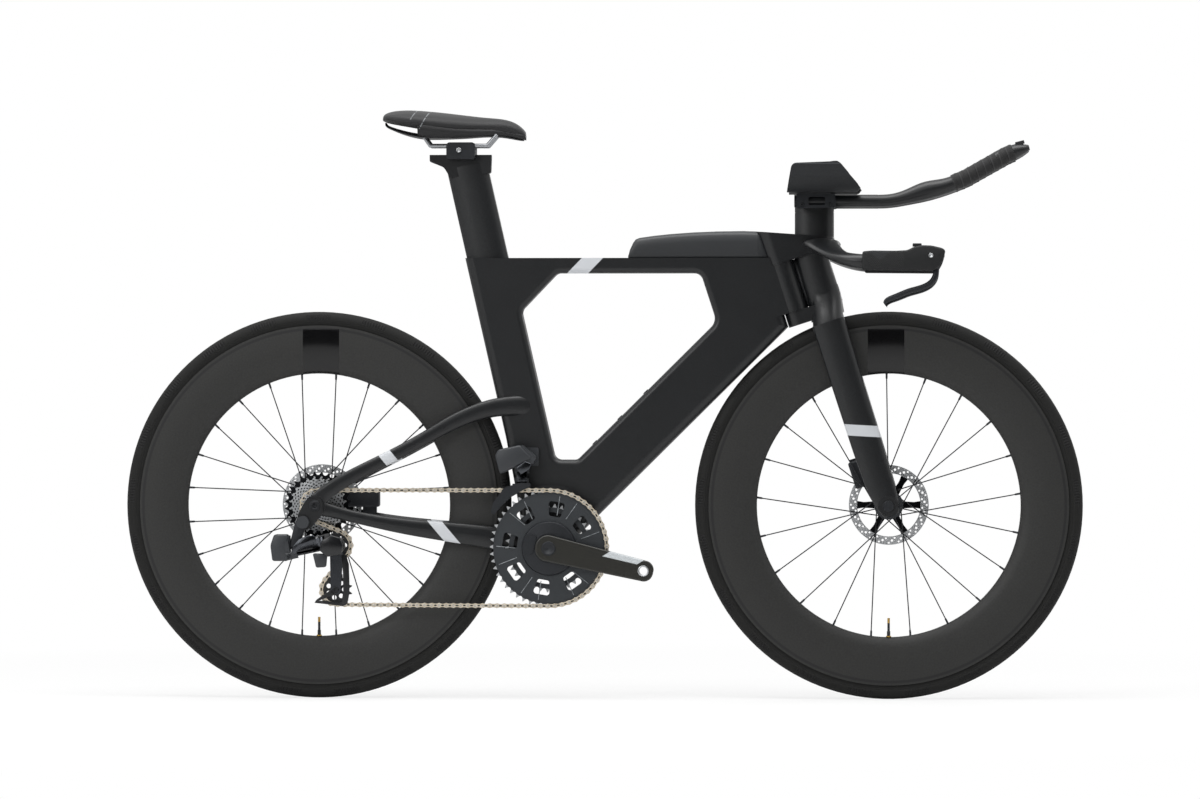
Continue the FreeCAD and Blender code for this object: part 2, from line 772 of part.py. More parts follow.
def rotor(label, x, y):
    """A drilled brake ring on a carrier with curved-in arms."""
    outer, half = float(d.rotor_radius), float(d.rotor_thickness) / 2
    ring = pin(outer, (0, y - half, 0), (0, y + half, 0)).cut(pin(outer - 14.5, (0, y - 9, 0), (0, y + 9, 0)))
    holes = []
    for row, (radius, size) in enumerate(((outer - 3.4, 1.7), (outer - 7.2, 2.1), (outer - 11.0, 1.7))):
        for step in range(24):
            angle = math.radians(15 * step + 5 * row)
            cx, cz = radius * math.cos(angle), radius * math.sin(angle)
            holes.append(pin(size, (cx, y - 3, cz), (cx, y + 3, cz)))
    ring = ring.cut(Part.makeCompound(holes))
    carrier = pin(24, (0, y - 1.6, 0), (0, y + 1.6, 0))
    arms = []
    for step in range(6):
        arm = slab([(14, -7), (44, -5), (outer - 13.5, -7), (outer - 13.5, 7), (44, 5), (14, 7)], y - 1.2, y + 1.2)
        arm.rotate(Vector(0, 0, 0), Y_AXIS, 60 * step)
        arms.append(arm)
    carrier = carrier.fuse(arms).cut(pin(16.0 + float(d.running_gap), (0, y - 9, 0), (0, y + 9, 0)))
    whole = joined([ring, carrier])
    keep(label, feature(label, whole, Placement(Vector(x, 0, axle_z), Rotation())))


front_face = d.front_hub_spacing / 2
front_rotor_y = float(front_face) - float(d.rotor_inset)
rear_rotor_y = float(rear_face) - float(d.rotor_inset)
freehub_start = rear_flange_right - 4.3
for name, x in (("rear", rear_x), ("front", front_x)):
    tyre(f"{name}_tyre", x)
    rim(f"{name}_rim", x)
    valve(f"{name}_valve", x)
spokes("front_spokes", front_x, front_rows)
spokes("rear_spokes", rear_x, rear_rows)
hub("front_hub", front_x, front_face - d.face_gap, -(front_face - d.face_gap),
    ((front_flange_right, 20.5), (front_flange_left, 25.5)), front_rotor_y)
hub("rear_hub", rear_x, rear_face - d.face_gap, freehub_start,
    ((rear_flange_right, 26.0), (rear_flange_left, 23.0)), rear_rotor_y)
rotor("front_rotor", front_x, front_rotor_y)
rotor("rear_rotor", rear_x, rear_rotor_y)

# chain path: sprocket, chainring, tension pulley and guide pulley, in turn

pitch = float(d.chain_pitch)
chain_y = -float(d.chain_line)
SPROCKETS = (10, 11, 12, 13, 14, 15, 16, 17, 19, 21, 24, 28)
USED_SPROCKET = 3
guide_at = Vector(float(rear_x) + 36.3, 0, float(axle_z) - 69.9)


def pitch_radius(teeth):
    return pitch / (2 * math.sin(math.pi / teeth))


def tangent(a, b):
    """Directed line touching two round wheels; a wheel is (centre, teeth, turn sense)."""
    (c1, t1, s1), (c2, t2, s2) = a, b
    r1, r2 = pitch_radius(t1), pitch_radius(t2)
    way = c2 - c1
    far = way.Length
    e = way * (1 / far)
    f = Vector(-e.z, 0, e.x)
    k = (s2 * r2 - s1 * r1) / far
    n = e * k + f * math.sqrt(1 - k * k)
    return c1 - n * (s1 * r1), c2 - n * (s2 * r2)


def chain_runs(cage_angle):
    """Straight runs and wheel wraps round the loop, in the direction of travel."""
    swing = math.radians(cage_angle)
    tension_at = guide_at + Vector(math.sin(swing), 0, -math.cos(swing)) * float(d.cage_length)
    wheels = [
        (Vector(rear_x, 0, axle_z), SPROCKETS[USED_SPROCKET], -1),
        (Vector(bb_x, 0, bb_z), int(d.ring_teeth), -1),
        (tension_at, int(d.tension_teeth), -1),
        (guide_at, int(d.guide_teeth), 1),
    ]
    lines = [tangent(wheels[i], wheels[(i + 1) % 4]) for i in range(4)]
    runs = []
    for i in range(4):
        centre, teeth, sense = wheels[i]
        came, left = lines[i - 1][1] - centre, lines[i][0] - centre
        first, last = math.atan2(came.z, came.x), math.atan2(left.z, left.x)
        swept = (sense * (last - first)) % (2 * math.pi)
        runs.append(("wrap", swept * teeth * pitch / (2 * math.pi), centre, teeth, sense, first))
        runs.append(("run", (lines[i][1] - lines[i][0]).Length, lines[i][0], lines[i][1]))
    return runs, tension_at


def loop_links(cage_angle):
    return sum(run[1] for run in chain_runs(cage_angle)[0]) / pitch


link_count = 2 * round(loop_links(3.0) / 2)
low_angle, high_angle = -40.0, 40.0
rising = loop_links(high_angle) > loop_links(low_angle)
for _ in range(60):
    middle_angle = (low_angle + high_angle) / 2
    if (loop_links(middle_angle) < link_count) == rising:
        low_angle = middle_angle
    else:
        high_angle = middle_angle
cage_angle = (low_angle + high_angle) / 2
runs, tension_at = chain_runs(cage_angle)


def chain_point(distance):
    for run in runs:
        if distance <= run[1] + 1e-9:
            if run[0] == "run":
                return run[2] + (run[3] - run[2]) * (distance / run[1])
            _, length, centre, teeth, sense, first = run
            angle = first + sense * distance / (teeth * pitch) * 2 * math.pi
            return centre + Vector(math.cos(angle), 0, math.sin(angle)) * pitch_radius(teeth)
        distance -= run[1]
    return chain_point(distance)


rollers = [chain_point(i * pitch) for i in range(link_count)]


def gap_angle(centre, teeth):
    """Angle of a roller that sits on a wheel, so its tooth gaps can meet the chain."""
    radius = pitch_radius(teeth)
    best = min(rollers, key=lambda r: abs((r - centre).Length - radius) + 0.02 * abs((r - centre).z))
    return math.atan2(best.z - centre.z, best.x - centre.x)


def toothed(teeth, phase, tip=2.6):
    """A sprocket outline: round seats for the rollers and short pointed teeth between."""
    radius = pitch_radius(teeth)
    seat = float(d.roller_radius) + 0.12
    step = 2 * math.pi / teeth
    edges = []
    points = []
    for i in range(teeth):
        angle = phase + i * step
        outward = Vector(math.cos(angle), math.sin(angle), 0)
        side = Vector(-math.sin(angle), math.cos(angle), 0)
        centre = outward * radius
        spread = math.radians(62)
        a = centre - outward * (seat * math.cos(spread)) - side * (seat * math.sin(spread))
        b = centre - outward * seat
        c = centre - outward * (seat * math.cos(spread)) + side * (seat * math.sin(spread))
        crest = phase + (i + 0.5) * step
        out = Vector(math.cos(crest), math.sin(crest), 0) * (radius + tip)
        wide = Vector(-math.sin(crest), math.cos(crest), 0) * 0.75
        points.append((a, b, c, out - wide, out + wide))
    for i in range(teeth):
        a, b, c, t0, t1 = points[i]
        following = points[(i + 1) % teeth][0]
        edges.append(Part.Arc(a, b, c).toShape())
        edges.append(Part.makeLine(c, t0))
        edges.append(Part.makeLine(t0, t1))
        edges.append(Part.makeLine(t1, following))
    face = Part.Face(Part.Wire(edges))
    face.Placement = Placement(Vector(0, 0, 0), Rotation(Vector(1, 0, 0), 90))
    return face


def sprocket(teeth, phase, y, thickness, tip=2.6):
    face = toothed(teeth, phase, tip)
    face.translate(Vector(0, y - thickness / 2, 0))
    return face.extrude(Vector(0, thickness, 0))


def chain_plate(y0, y1, radius, waist):
    """A link plate: two round ends with a narrower waist."""
    reach = pitch / 2
    bend = (reach ** 2 + waist ** 2 - radius ** 2) / (2 * (radius - waist))
    tilt = math.atan2(reach, waist + bend)
    up = Vector(math.sin(tilt) * radius, math.cos(tilt) * radius, 0)
    right = Vector(pitch, 0, 0)
    down = Vector(up.x, -up.y, 0)
    upper_right = right + Vector(-up.x, up.y, 0)
    lower_right = right + Vector(-up.x, -up.y, 0)
    edges = [
        Part.Arc(up, Vector(-radius, 0, 0), down),
        Part.Arc(down, Vector(reach, -waist, 0), lower_right),
        Part.Arc(lower_right, right + Vector(radius, 0, 0), upper_right),
        Part.Arc(upper_right, Vector(reach, waist, 0), up),
    ]
    face = Part.Face(Part.Wire([e.toShape() for e in edges]))
    face.Placement = Placement(Vector(0, y0, 0), Rotation(Vector(1, 0, 0), 90))
    return face.extrude(Vector(0, y1 - y0, 0))


def chain():
    pin_radius = 1.8
    inner = [chain_plate(1.1, 1.8, 4.2, 3.0), chain_plate(-1.8, -1.1, 4.2, 3.0)]
    inner += [pin(d.roller_radius, (x, -1.2, 0), (x, 1.2, 0)) for x in (0, pitch)]
    inner_link = inner[0].fuse(inner[1:])
    for x in (0, pitch):
        inner_link = inner_link.cut(pin(pin_radius + 0.1, (x, -4, 0), (x, 4, 0)))
    outer = [chain_plate(1.9, 2.5, 4.2, 2.8), chain_plate(-2.5, -1.9, 4.2, 2.8)]
    outer += [pin(pin_radius, (x, -2.65, 0), (x, 2.65, 0)) for x in (0, pitch)]
    outer_link = outer[0].fuse(outer[1:])
    links = []
    for i in range(link_count):
        here, following = rollers[i], rollers[(i + 1) % link_count]
        way = following - here
        turn = Rotation(Y_AXIS, -math.degrees(math.atan2(way.z, way.x)))
        link = (inner_link if i % 2 == 0 else outer_link).copy()
        link.Placement = Placement(Vector(here.x, chain_y, here.z), turn)
        links.append(link)
    keep("chain", feature("chain", Part.makeCompound(links)))


chain()

# chainrings, spider and cranks

bb_at = Vector(bb_x, 0, bb_z)
ring_phase = gap_angle(bb_at, int(d.ring_teeth))
tooth = float(d.tooth_thickness)
inner_y = chain_y + float(d.ring_spacing)
ring_radius = pitch_radius(int(d.ring_teeth))
inner_radius = pitch_radius(int(d.inner_ring_teeth))


def around_bb(radius, y0, y1):
    return pin(radius, (0, y0, 0), (0, y1, 0))


spider_radius = 48.0
outer_ring = sprocket(int(d.ring_teeth), ring_phase, chain_y, tooth)
outer_ring = outer_ring.fuse(around_bb(ring_radius - 7, chain_y - 2.2, chain_y + 1.6))
windows = []
for step in range(8):
    window = slab([(56, -10, 4), (82, -15, 5), (82, 15, 5), (56, 10, 4)], chain_y - 9, chain_y + 20)
    window.rotate(Vector(0, 0, 0), Y_AXIS, 45 * step + 10)
    windows.append(window)
inner_ring = sprocket(int(d.inner_ring_teeth), 0.0, inner_y, tooth)
inner_ring = inner_ring.cut(around_bb(inner_radius - 12, inner_y - 9, inner_y + 9))
posts = [pin(3.2, (69 * math.cos(math.radians(a)), chain_y, 69 * math.sin(math.radians(a))),
             (69 * math.cos(math.radians(a)), inner_y, 69 * math.sin(math.radians(a))))
         for a in range(12, 372, 45)]
outer_ring = outer_ring.cut(windows[0].fuse(windows[1:]))
whole_rings = outer_ring.fuse([inner_ring] + posts)
whole_rings = whole_rings.cut(around_bb(spider_radius - 16, -80, 0))
keep("chainrings", feature("chainrings", whole_rings, Placement(bb_at, Rotation())))

spider_profile = [
    (d.spindle_radius + d.running_gap, chain_y + 4.5),
    (spider_radius - 16.1, chain_y + 4.5),
    (spider_radius - 16.1, chain_y - 2.2),
    (spider_radius, chain_y - 2.2),
    (spider_radius - 2, chain_y - 8, 2),
    (26.0, -60.0),
    (d.spindle_radius + d.running_gap, -60.0),
]
spider_disc = turned("spider_disc", spider_profile, bb_x, bb_z)
battery_lid = slab([(-45, -16, 6), (-25, -18, 6), (-25, 18, 6), (-45, 16, 6)], -61.5, chain_y - 5)
lid_turn = Rotation(Y_AXIS, float(d.crank_drop_angle))
spider_lid = feature("spider_lid", battery_lid, Placement(bb_at, lid_turn))
keep("crank_spider", fused("crank_spider", [spider_disc, spider_lid]))

arm_middle = d.crank_outer_face - d.crank_thickness / 2
arm_outline = [(-23.4, 23.6, 22), (187.4, 17.8, 16), (187.4, -17.8, 16), (-23.4, -23.6, 22)]
crank_drop = math.radians(float(d.crank_drop_angle))


def pedal_hole(side):
    """The pedal thread's hole, straight through one arm; side is 1 for the left arm."""
    ahead = -side * float(d.crank_length) * math.cos(crank_drop)
    drop = -side * float(d.crank_length) * math.sin(crank_drop)
    x = bb_x + ahead
    z = bb_z - drop
    return pin(d.pedal_hole_radius, (x, side * 40, z), (x, side * 90, z))


right_arm = plate("right_arm", arm_outline, d.crank_thickness, 0.0, [], 2.5)
place(right_arm, bb_x, -arm_middle, bb_z, Rotation(Y_AXIS, float(d.crank_drop_angle)))
spindle = rod("spindle", d.spindle_radius, d.crank_outer_face * 2 - d.crank_thickness, bb_x, -arm_middle, bb_z)
spindle_bore = feature("spindle_bore", pin(11.0, (bb_x, -66, bb_z), (bb_x, 90, bb_z)))
arm_recess = feature("arm_recess", pin(8.0, (bb_x, -80, bb_z), (bb_x, -70.6, bb_z)))
spindled_arm = fused("spindled_arm", [right_arm, spindle])
right_pedal_hole = feature("right_pedal_hole", pedal_hole(-1))
hollows = fused("arm_hollows", [spindle_bore, arm_recess, right_pedal_hole])
keep("right_crank_arm", cut("right_crank_arm", spindled_arm, hollows))
spindle_hole = (0, 0, d.spindle_radius + d.running_gap)
left_arm = plate("left_arm", arm_outline, d.crank_thickness, 0.0, [spindle_hole], 2.5)
place(left_arm, bb_x, arm_middle, bb_z, Rotation(Y_AXIS, 180 + float(d.crank_drop_angle)))
left_pedal_hole = feature("left_pedal_hole", pedal_hole(1))
keep("left_crank_arm", cut("left_crank_arm", left_arm, left_pedal_hole))

# cassette and freehub body

rear_at = Vector(rear_x, 0, axle_z)
cogs = []
for place_number, teeth in enumerate(SPROCKETS):
    y = chain_y + (place_number - USED_SPROCKET) * float(d.sprocket_step)
    phase = gap_angle(rear_at, teeth) if place_number == USED_SPROCKET else 0.0
    cog = sprocket(teeth, phase, y, 1.5, 2.0)
    if teeth > 16:
        hole_ring = (pitch_radius(teeth) - 5 + 17) / 2
        size = (pitch_radius(teeth) - 5 - 17) / 3
        holes = [pin(size, (hole_ring * math.cos(a), y - 3, hole_ring * math.sin(a)),
                     (hole_ring * math.cos(a), y + 3, hole_ring * math.sin(a)))
                 for a in [2 * math.pi * k / 9 for k in range(9)]]
        cog = cog.cut(Part.makeCompound(holes))
    cogs.append(cog)
cassette_in = chain_y + (len(SPROCKETS) - 1 - USED_SPROCKET) * float(d.sprocket_step) + 0.75
cassette_out = chain_y - USED_SPROCKET * float(d.sprocket_step) - 0.75
tube = pin(16.1, (0, cassette_out, 0), (0, cassette_in, 0))
cassette_shape = tube.fuse(cogs).cut(pin(d.freehub_radius + d.running_gap, (0, -90, 0), (0, 0, 0)))
keep("cassette", feature("cassette", cassette_shape, Placement(rear_at, Rotation())))
freehub_profile = [
    (d.axle_radius + d.running_gap, freehub_start - 0.3),
    (20.0, freehub_start - 0.3),
    (20.0, cassette_in),
    (d.freehub_radius, cassette_in),
    (d.freehub_radius, cassette_out),
    (10.0, cassette_out - 1),
    (9.5, -(rear_face - d.face_gap)),
    (d.axle_radius + d.running_gap, -(rear_face - d.face_gap)),
]
keep("freehub_body", turned("freehub_body", freehub_profile, rear_x, axle_z))


# rear derailleur

def strip(a, b, half_a, half_b, y0, y1):
    """A tapered flat strip with round ends between two points of the XZ plane."""
    way = (b - a).normalize()
    side = Vector(-way.z, 0, way.x)
    start, end = a - way * half_a, b + way * half_b
    corners = [flat(start + side * half_a, half_a * 0.95), flat(end + side * half_b, half_b * 0.95),
               flat(end - side * half_b, half_b * 0.95), flat(start - side * half_a, half_a * 0.95)]
    return slab(corners, y0, y1)


LINK_LENGTH = 50.0
LINK_SPACING = 6.5
link_turn = Rotation(Y_AXIS, -12).multiply(Rotation(Vector(1, 0, 0), -30))
link_base = Vector(float(rear_x) - 36, -80, float(axle_z) - 77)
linkage = Placement(link_base, link_turn)


def in_linkage(shape):
    shape.Placement = linkage
    return shape


def clear_of_links(shape):
    """Takes away what reaches between the hinges, where the links swing."""
    return shape.cut(in_linkage(block(-6.8, LINK_LENGTH + 6.8, -40, 40, -40, 40)))


def link_pins(along, low, high, radius):
    return [pin(radius, (along, side * LINK_SPACING, low), (along, side * LINK_SPACING, high)) for side in (-1, 1)]


def clevis(along, facing):
    """Two ears and their back block, with the two hinge pins between the ears."""
    back = [block(*sorted((along + facing * 7, along + facing * 15)), -11, 11, -12, 12)]
    ears = [block(*sorted((along - facing * 4, along + facing * 8)), -11, 11, low, low + 3) for low in (-11.5, 8.5)]
    return [in_linkage(s) for s in back + ears + link_pins(along, -9, 9, 2.0)]


def derailleur_link(label, side):
    bar = block(0, LINK_LENGTH, side * LINK_SPACING - 3, side * LINK_SPACING + 3, -8.2, 8.2)
    ends = [pin(4.2, (x, side * LINK_SPACING, -8.2), (x, side * LINK_SPACING, 8.2)) for x in (0, LINK_LENGTH)]
    shape = bar.fuse(ends)
    for x in (0, LINK_LENGTH):
        centre = (x, side * LINK_SPACING)
        shape = shape.cut(pin(2.0 + float(d.running_gap), centre + (-20,), centre + (20,)))
    keep(label, feature(label, shape.removeSplitter(), linkage))


derailleur_link("rear_derailleur_outer_link", -1)
derailleur_link("rear_derailleur_inner_link", 1)
hanger_at = Vector(hanger_x, 0, hanger_z)
knuckle_low = Vector(link_base.x - 8, 0, link_base.z + 4)
knuckle = [
    pin(11.0, (hanger_x, hanger_outer - 12, hanger_z), (hanger_x, hanger_outer, hanger_z)),
    pin(5.0, (hanger_x, hanger_outer - 2, hanger_z), (hanger_x, hanger_outer + 4.8, hanger_z)),
    clear_of_links(strip(hanger_at, knuckle_low, 11, 8, hanger_outer - 11, hanger_outer - 1)),
] + clevis(0.0, -1)
knuckle_shape = joined(knuckle)
battery = slab([(-573, 277, 4), (-556, 287, 4), (-547, 248, 4), (-564, 244, 4)], -93, -68)
battery.translate(rear_shift)
battery = battery.cut(knuckle_shape)
keep("rear_derailleur_knuckle", feature("rear_derailleur_knuckle", Part.makeCompound([knuckle_shape] + battery.Solids)))

cage_out, cage_in = chain_y - 8.0, chain_y + 6.2
guide, tension = Vector(guide_at.x, 0, guide_at.z), Vector(tension_at.x, 0, tension_at.z)
clevis_end = linkage.multVec(Vector(LINK_LENGTH + 10, 0, 0))
knuckle_foot = Vector(clevis_end.x, 0, clevis_end.z)
moving = [
    pin(15.0, (guide.x, -80, guide.z), (guide.x, cage_out - 0.3, guide.z)),
    clear_of_links(strip(knuckle_foot, guide, 12, 12, -80, cage_out - 3)),
] + clevis(LINK_LENGTH, 1)
moving_shape = joined(moving).cut(pin(8.0 + float(d.running_gap), (guide.x, -72, guide.z), (guide.x, -40, guide.z)))
keep("rear_derailleur_moving_knuckle", feature("rear_derailleur_moving_knuckle", moving_shape))

down_cage = (tension - guide).normalize()
cage = [
    strip(guide, tension, 13.0, 8.5, cage_out, cage_out + 2.4),
    strip(guide, tension, 11.0, 8.0, cage_in - 1.8, cage_in),
    pin(8.0, (guide.x, -71.5, guide.z), (guide.x, cage_out + 1, guide.z)),
]
for at in (guide, tension):
    cage.append(pin(2.5, (at.x, cage_out, at.z), (at.x, cage_in, at.z)))
cage_shape = joined(cage)
keep("rear_derailleur_cage", feature("rear_derailleur_cage", cage_shape))


def pulley(label, at, teeth, windows):
    wheel = sprocket(teeth, gap_angle(at, teeth), chain_y, 2.0, 2.2)
    wheel = wheel.fuse(pin(6.5, (0, chain_y - 3.6, 0), (0, chain_y + 3.6, 0)))
    holes = [pin(2.5 + float(d.running_gap), (0, -90, 0), (0, 0, 0))]
    middle = (pitch_radius(teeth) - 5 + 7) / 2
    for k in range(windows):
        a = 2 * math.pi * k / windows
        holes.append(pin(4.0, (middle * math.cos(a), -90, middle * math.sin(a)), (middle * math.cos(a), 0, middle * math.sin(a))))
    wheel = wheel.cut(Part.makeCompound(holes))
    keep(label, feature(label, wheel, Placement(at, Rotation())))


pulley("guide_pulley", guide, int(d.guide_teeth), 6)
pulley("tension_pulley", tension, int(d.tension_teeth), 7)

# front derailleur

side_y = float(d.frame_thickness) / 2
fd_pin = (-38.0, float(bb_z) + 135.5)
fd_low_pin = (-46.0, float(bb_z) + 117.5)
fd_left, fd_right = float(bb_x) - 60, float(bb_x) - 36


def fd_ears(y0, y1, z0, z1):
    return [block(fd_left, fd_left + 2.8, y0, y1, z0, z1), block(fd_right - 2.8, fd_right, y0, y1, z0, z1)]


def fd_pin_rod(radius, at, reach=0.0):
    return pin(radius, (fd_left - reach, at[0], at[1]), (fd_right + reach, at[0], at[1]))


fd_shift = bb_at - Vector(-92.2, 0, 264.5)
fd_case = slab([(-184, 426, 5), (-139, 445, 5), (-114, 424, 5), (-120, 412, 4), (-160, 403, 4), (-176, 396, 5)], -55, -27)
fd_case.translate(fd_shift)
fd_foot = slab([(-150, 440, 3), (-112, 440, 3), (-112, 408, 3), (-150, 408, 3)], -28, -side_y)
fd_foot.translate(fd_shift)
fd_body = joined([fd_case, fd_foot, fd_pin_rod(2.0, fd_pin)] + fd_ears(-43, -33, fd_pin[1] - 5, fd_pin[1] + 14))
keep("front_derailleur_body", feature("front_derailleur_body", fd_body))
fd_way = Vector(0, fd_low_pin[0] - fd_pin[0], fd_low_pin[1] - fd_pin[1])
fd_bar = block(fd_left + 3.3, fd_right - 3.3, -2.8, 2.8, -fd_way.Length, 0)
fd_bar = fd_bar.fuse([pin(4.0, (fd_left + 3.3, 0, z), (fd_right - 3.3, 0, z)) for z in (0, -fd_way.Length)])
for z in (0, -fd_way.Length):
    fd_bar = fd_bar.cut(pin(2.0 + float(d.running_gap), (fd_left - 9, 0, z), (fd_right + 9, 0, z)))
fd_tilt = Rotation(Vector(0, 0, -1), fd_way)
keep("front_derailleur_link", feature("front_derailleur_link", fd_bar.removeSplitter(), Placement(Vector(0, fd_pin[0], fd_pin[1]), fd_tilt)))
cage_plate = [(-124, 372, 2), (-136, 367, 4), (-160, 353, 8), (-176, 338, 8), (-188, 323, 3),
              (-194, 327, 3), (-190, 344, 10), (-170, 371, 10), (-140, 379, 6), (-125, 378, 2)]
fd_plates = [slab(cage_plate, y0, y1) for y0, y1 in ((chain_y - 7.4, chain_y - 6.0), (chain_y + 6.0, chain_y + 7.4))]
fd_plates.append(block(-156, -126, chain_y - 7.0, chain_y + 7.0, 373.2, 377))
fd_plates.append(pin(2.6, (-189.5, chain_y - 7, 328), (-189.5, chain_y + 7, 328)))
for shape in fd_plates:
    shape.translate(fd_shift)
fd_cage = fd_plates + fd_ears(-51, -41, fd_low_pin[1] - 8, fd_low_pin[1] + 4.5) + [fd_pin_rod(2.0, fd_low_pin)]
keep("front_derailleur_cage", feature("front_derailleur_cage", joined(fd_cage)))

# sweep of the base bar

bar_run = [
    (Vector(383, 0, 796), 33, 10.5),
    (Vector(383, 42, 795.5), 31.5, 10),
    (Vector(390, 92, 789), 28, 9.2),
    (Vector(405, 136, 778), 24, 9.4),
    (Vector(425, 168, 768.5), 20, 11),
    (Vector(442, 182.5, 764.6), 16.0, 12.2),
    (Vector(456, 188.6, 762.9), 13.2, 12.6),
    (Vector(466, 190, 762.5), 12.6, 12.6),
    (Vector(478, 190, 762.5), 12.4, 12.4),
]
bar_out = float(d.bar_half_width)
cockpit_shift = Vector(float(front_x) - 500, 0, float(axle_z) - 339)


def bar_stations(grow):
    stations = []
    for p, half_width, half_height in bar_run:
        at = Vector(p.x, p.y * bar_out / 190, p.z) + cockpit_shift
        stations.append((at, half_width + grow, half_height + grow))
    return stations


def bar_wing(grow):
    """The whole base bar in one sweep, from the right end through the middle to the left end."""
    left = bar_stations(grow)
    right = [(Vector(p.x, -p.y, p.z), a, b) for p, a, b in reversed(left[1:])]
    return lofted(right + left, 2.0)


# fork, built along the steering axis: x ahead of the axis, z along it, axle at the rake and zero

rake = float(d.fork_rake)
fork_face = float(front_face)
crown_top = bearing_low - float(d.face_gap)
leg_sections = [
    (49, 34, 338, 29, 11.5),
    (48, 38, 235, 28, 11),
    (47.2, 45.5, 110, 27, 9.5),
    (47.5, 52, 42, 25, 7.6),
    (49, 55.6, 2, 21, 5.6),
    (50, 55.6, -17, 13, 5.4),
]


def evened(sections, count, grow=0.0):
    """The same sections at even heights, so that a loft through them stays fair."""
    top = sections[0][2]
    foot = sections[-1][2]
    fair = []
    for step in range(count):
        height = top + (foot - top) * step / (count - 1)
        for upper, lower in zip(sections, sections[1:]):
            if lower[2] <= height <= upper[2]:
                share = (upper[2] - height) / (upper[2] - lower[2])
                x, y, z, half_length, half_width = [a + (b - a) * share for a, b in zip(upper, lower)]
                break
        fair.append((x, y, z, half_length + grow, half_width + grow))
    return fair


leg = stacked(evened(leg_sections, 12), 2.3, 0.15)
leg_room = stacked(evened(leg_sections, 12, 0.15), 2.3, 0.15)
crown = stacked([(56, 0, 396, 28.6, 19), (55.5, 0, 367, 28, 27), (50.5, 0, 346, 30, 39), (49.2, 0, 322, 29.2, 46)], 2.5)
blade = stacked([(54.6, 0, 366, 29.7, 20), (54.6, 0, 420, 29.7, 18.5), (56.5, 0, bearing_high, 29, 17)], 2.2, 0.1)
crown_back = pin(d.crown_radius, (0, 0, d.crown_low), (0, 0, crown_top))
crown_link = block(0, 45, -float(d.crown_radius), float(d.crown_radius), float(d.crown_low), crown_top)
steerer = pin(d.steerer_radius, (0, 0, d.crown_low), (0, 0, bearing_high + 38))
tips = [pin(18, (rake, side * fork_face, 0), (rake, side * (fork_face + 11.5), 0)) for side in (-1, 1)]
wheel_room = pin(d.tyre_radius + 8, (rake, -21.5, 0), (rake, 21.5, 0))
axle_bore = pin(d.axle_radius + d.running_gap, (rake, -90, 0), (rake, 90, 0))
leg_inside = block(0, 100, -fork_face, fork_face, -60, 15)
nose_room = bar_wing(float(d.face_gap))
nose_room.Placement = steering.inverse()
blade = max(blade.cut(nose_room).Solids, key=lambda s: s.Volume)
fork_shape = crown.cut(wheel_room)
for shape in [blade, joined([crown_back, crown_link, steerer]), leg, mirrored(leg)] + tips:
    fork_shape = fork_shape.fuse(shape)
fork_shape = fork_shape.cut(axle_bore).cut(leg_inside)
keep("fork", feature("fork", fork_shape, steering))

front_axle_profile = [
    (0, -fork_face - 14.5),
    (9.5, -fork_face - 14.5, 1),
    (9.5, -fork_face - 11.5),
    (d.axle_radius, -fork_face - 11.5),
    (d.axle_radius, fork_face + 12.5),
    (0, fork_face + 12.5),
]
keep("front_thru_axle", turned("front_thru_axle", front_axle_profile, front_x, axle_z))


def caliper(rotor_y, body, slot, pads):
    """A caliper block with a slot for the rotor and a pad each side of it; boxes are (x0, x1, z0, z1)."""
    x0, x1, z0, z1 = body
    shape = block(x0, x1, rotor_y - 15, rotor_y + 15, z0, z1)
    shape = shape.makeFillet(4.0, shape.Edges)
    sx0, sx1, sz0, sz1 = slot
    gap = float(d.rotor_thickness) / 2 + float(d.face_gap)
    shape = shape.cut(block(sx0, sx1, rotor_y - gap - 2.2, rotor_y + gap + 2.2, sz0, sz1))
    px0, px1, pz0, pz1 = pads
    pad_shapes = [block(px0, px1, rotor_y + gap, rotor_y + gap + 2.0, pz0, pz1),
                  block(px0, px1, rotor_y - gap - 2.0, rotor_y - gap, pz0, pz1)]
    return shape, pad_shapes


front_body, front_pads = caliper(front_rotor_y, (4, 30, 44, 92), (-20, 40, 30, 88), (8, 26, 50, 74))
front_mount = block(8, 34, front_rotor_y + 6, front_rotor_y + 17, 60, 96)
front_body = front_body.fuse(front_mount).cut(leg_room)
front_body = max(front_body.Solids, key=lambda s: s.Volume)
keep("front_caliper", feature("front_caliper", Part.makeCompound([front_body] + front_pads), steering))
rear_body, rear_pads = caliper(rear_rotor_y, (-462, -398, 334, 364), (-480, -408, 328, 370), (-457, -431, 339, 358))
rear_mount = block(-428, -404, rear_rotor_y - 2, rear_rotor_y + 13, 312, 342)
rear_body = rear_body.fuse(rear_mount)
for shape in [rear_body] + rear_pads:
    shape.translate(rear_shift)
rear_body = rear_body.cut(stay_shapes[1]).cut(stay_shapes[0])
rear_body = max(rear_body.Solids, key=lambda s: s.Volume)
keep("rear_caliper", feature("rear_caliper", Part.makeCompound([rear_body] + rear_pads)))

# stem, base bar and riser

stem_r = float(d.stem_radius)
stem_edges = [
    Part.Arc(Vector(0, stem_r, 0), Vector(-stem_r, 0, 0), Vector(0, -stem_r, 0)).toShape(),
    Part.makeLine(Vector(0, -stem_r, 0), Vector(82, -19, 0)),
    Part.Arc(Vector(82, -19, 0), Vector(104, 0, 0), Vector(82, 19, 0)).toShape(),
    Part.makeLine(Vector(82, 19, 0), Vector(0, stem_r, 0)),
]
stem_low = bearing_high + 0.2
stem_shape = Part.Face(Part.Wire(stem_edges)).extrude(Vector(0, 0, 90))
stem_shape.translate(Vector(0, 0, stem_low))
stem_shape.Placement = steering.multiply(stem_shape.Placement)
stem_top = Vector(float(front_x) - 225.6, 0, float(axle_z) + 478.6)
stem_fall = 3.95
above_stem = Part.makeBox(500, 200, 200, Vector(-100, -100, 0))
above_stem.Placement = Placement(stem_top, Rotation(Y_AXIS, stem_fall))
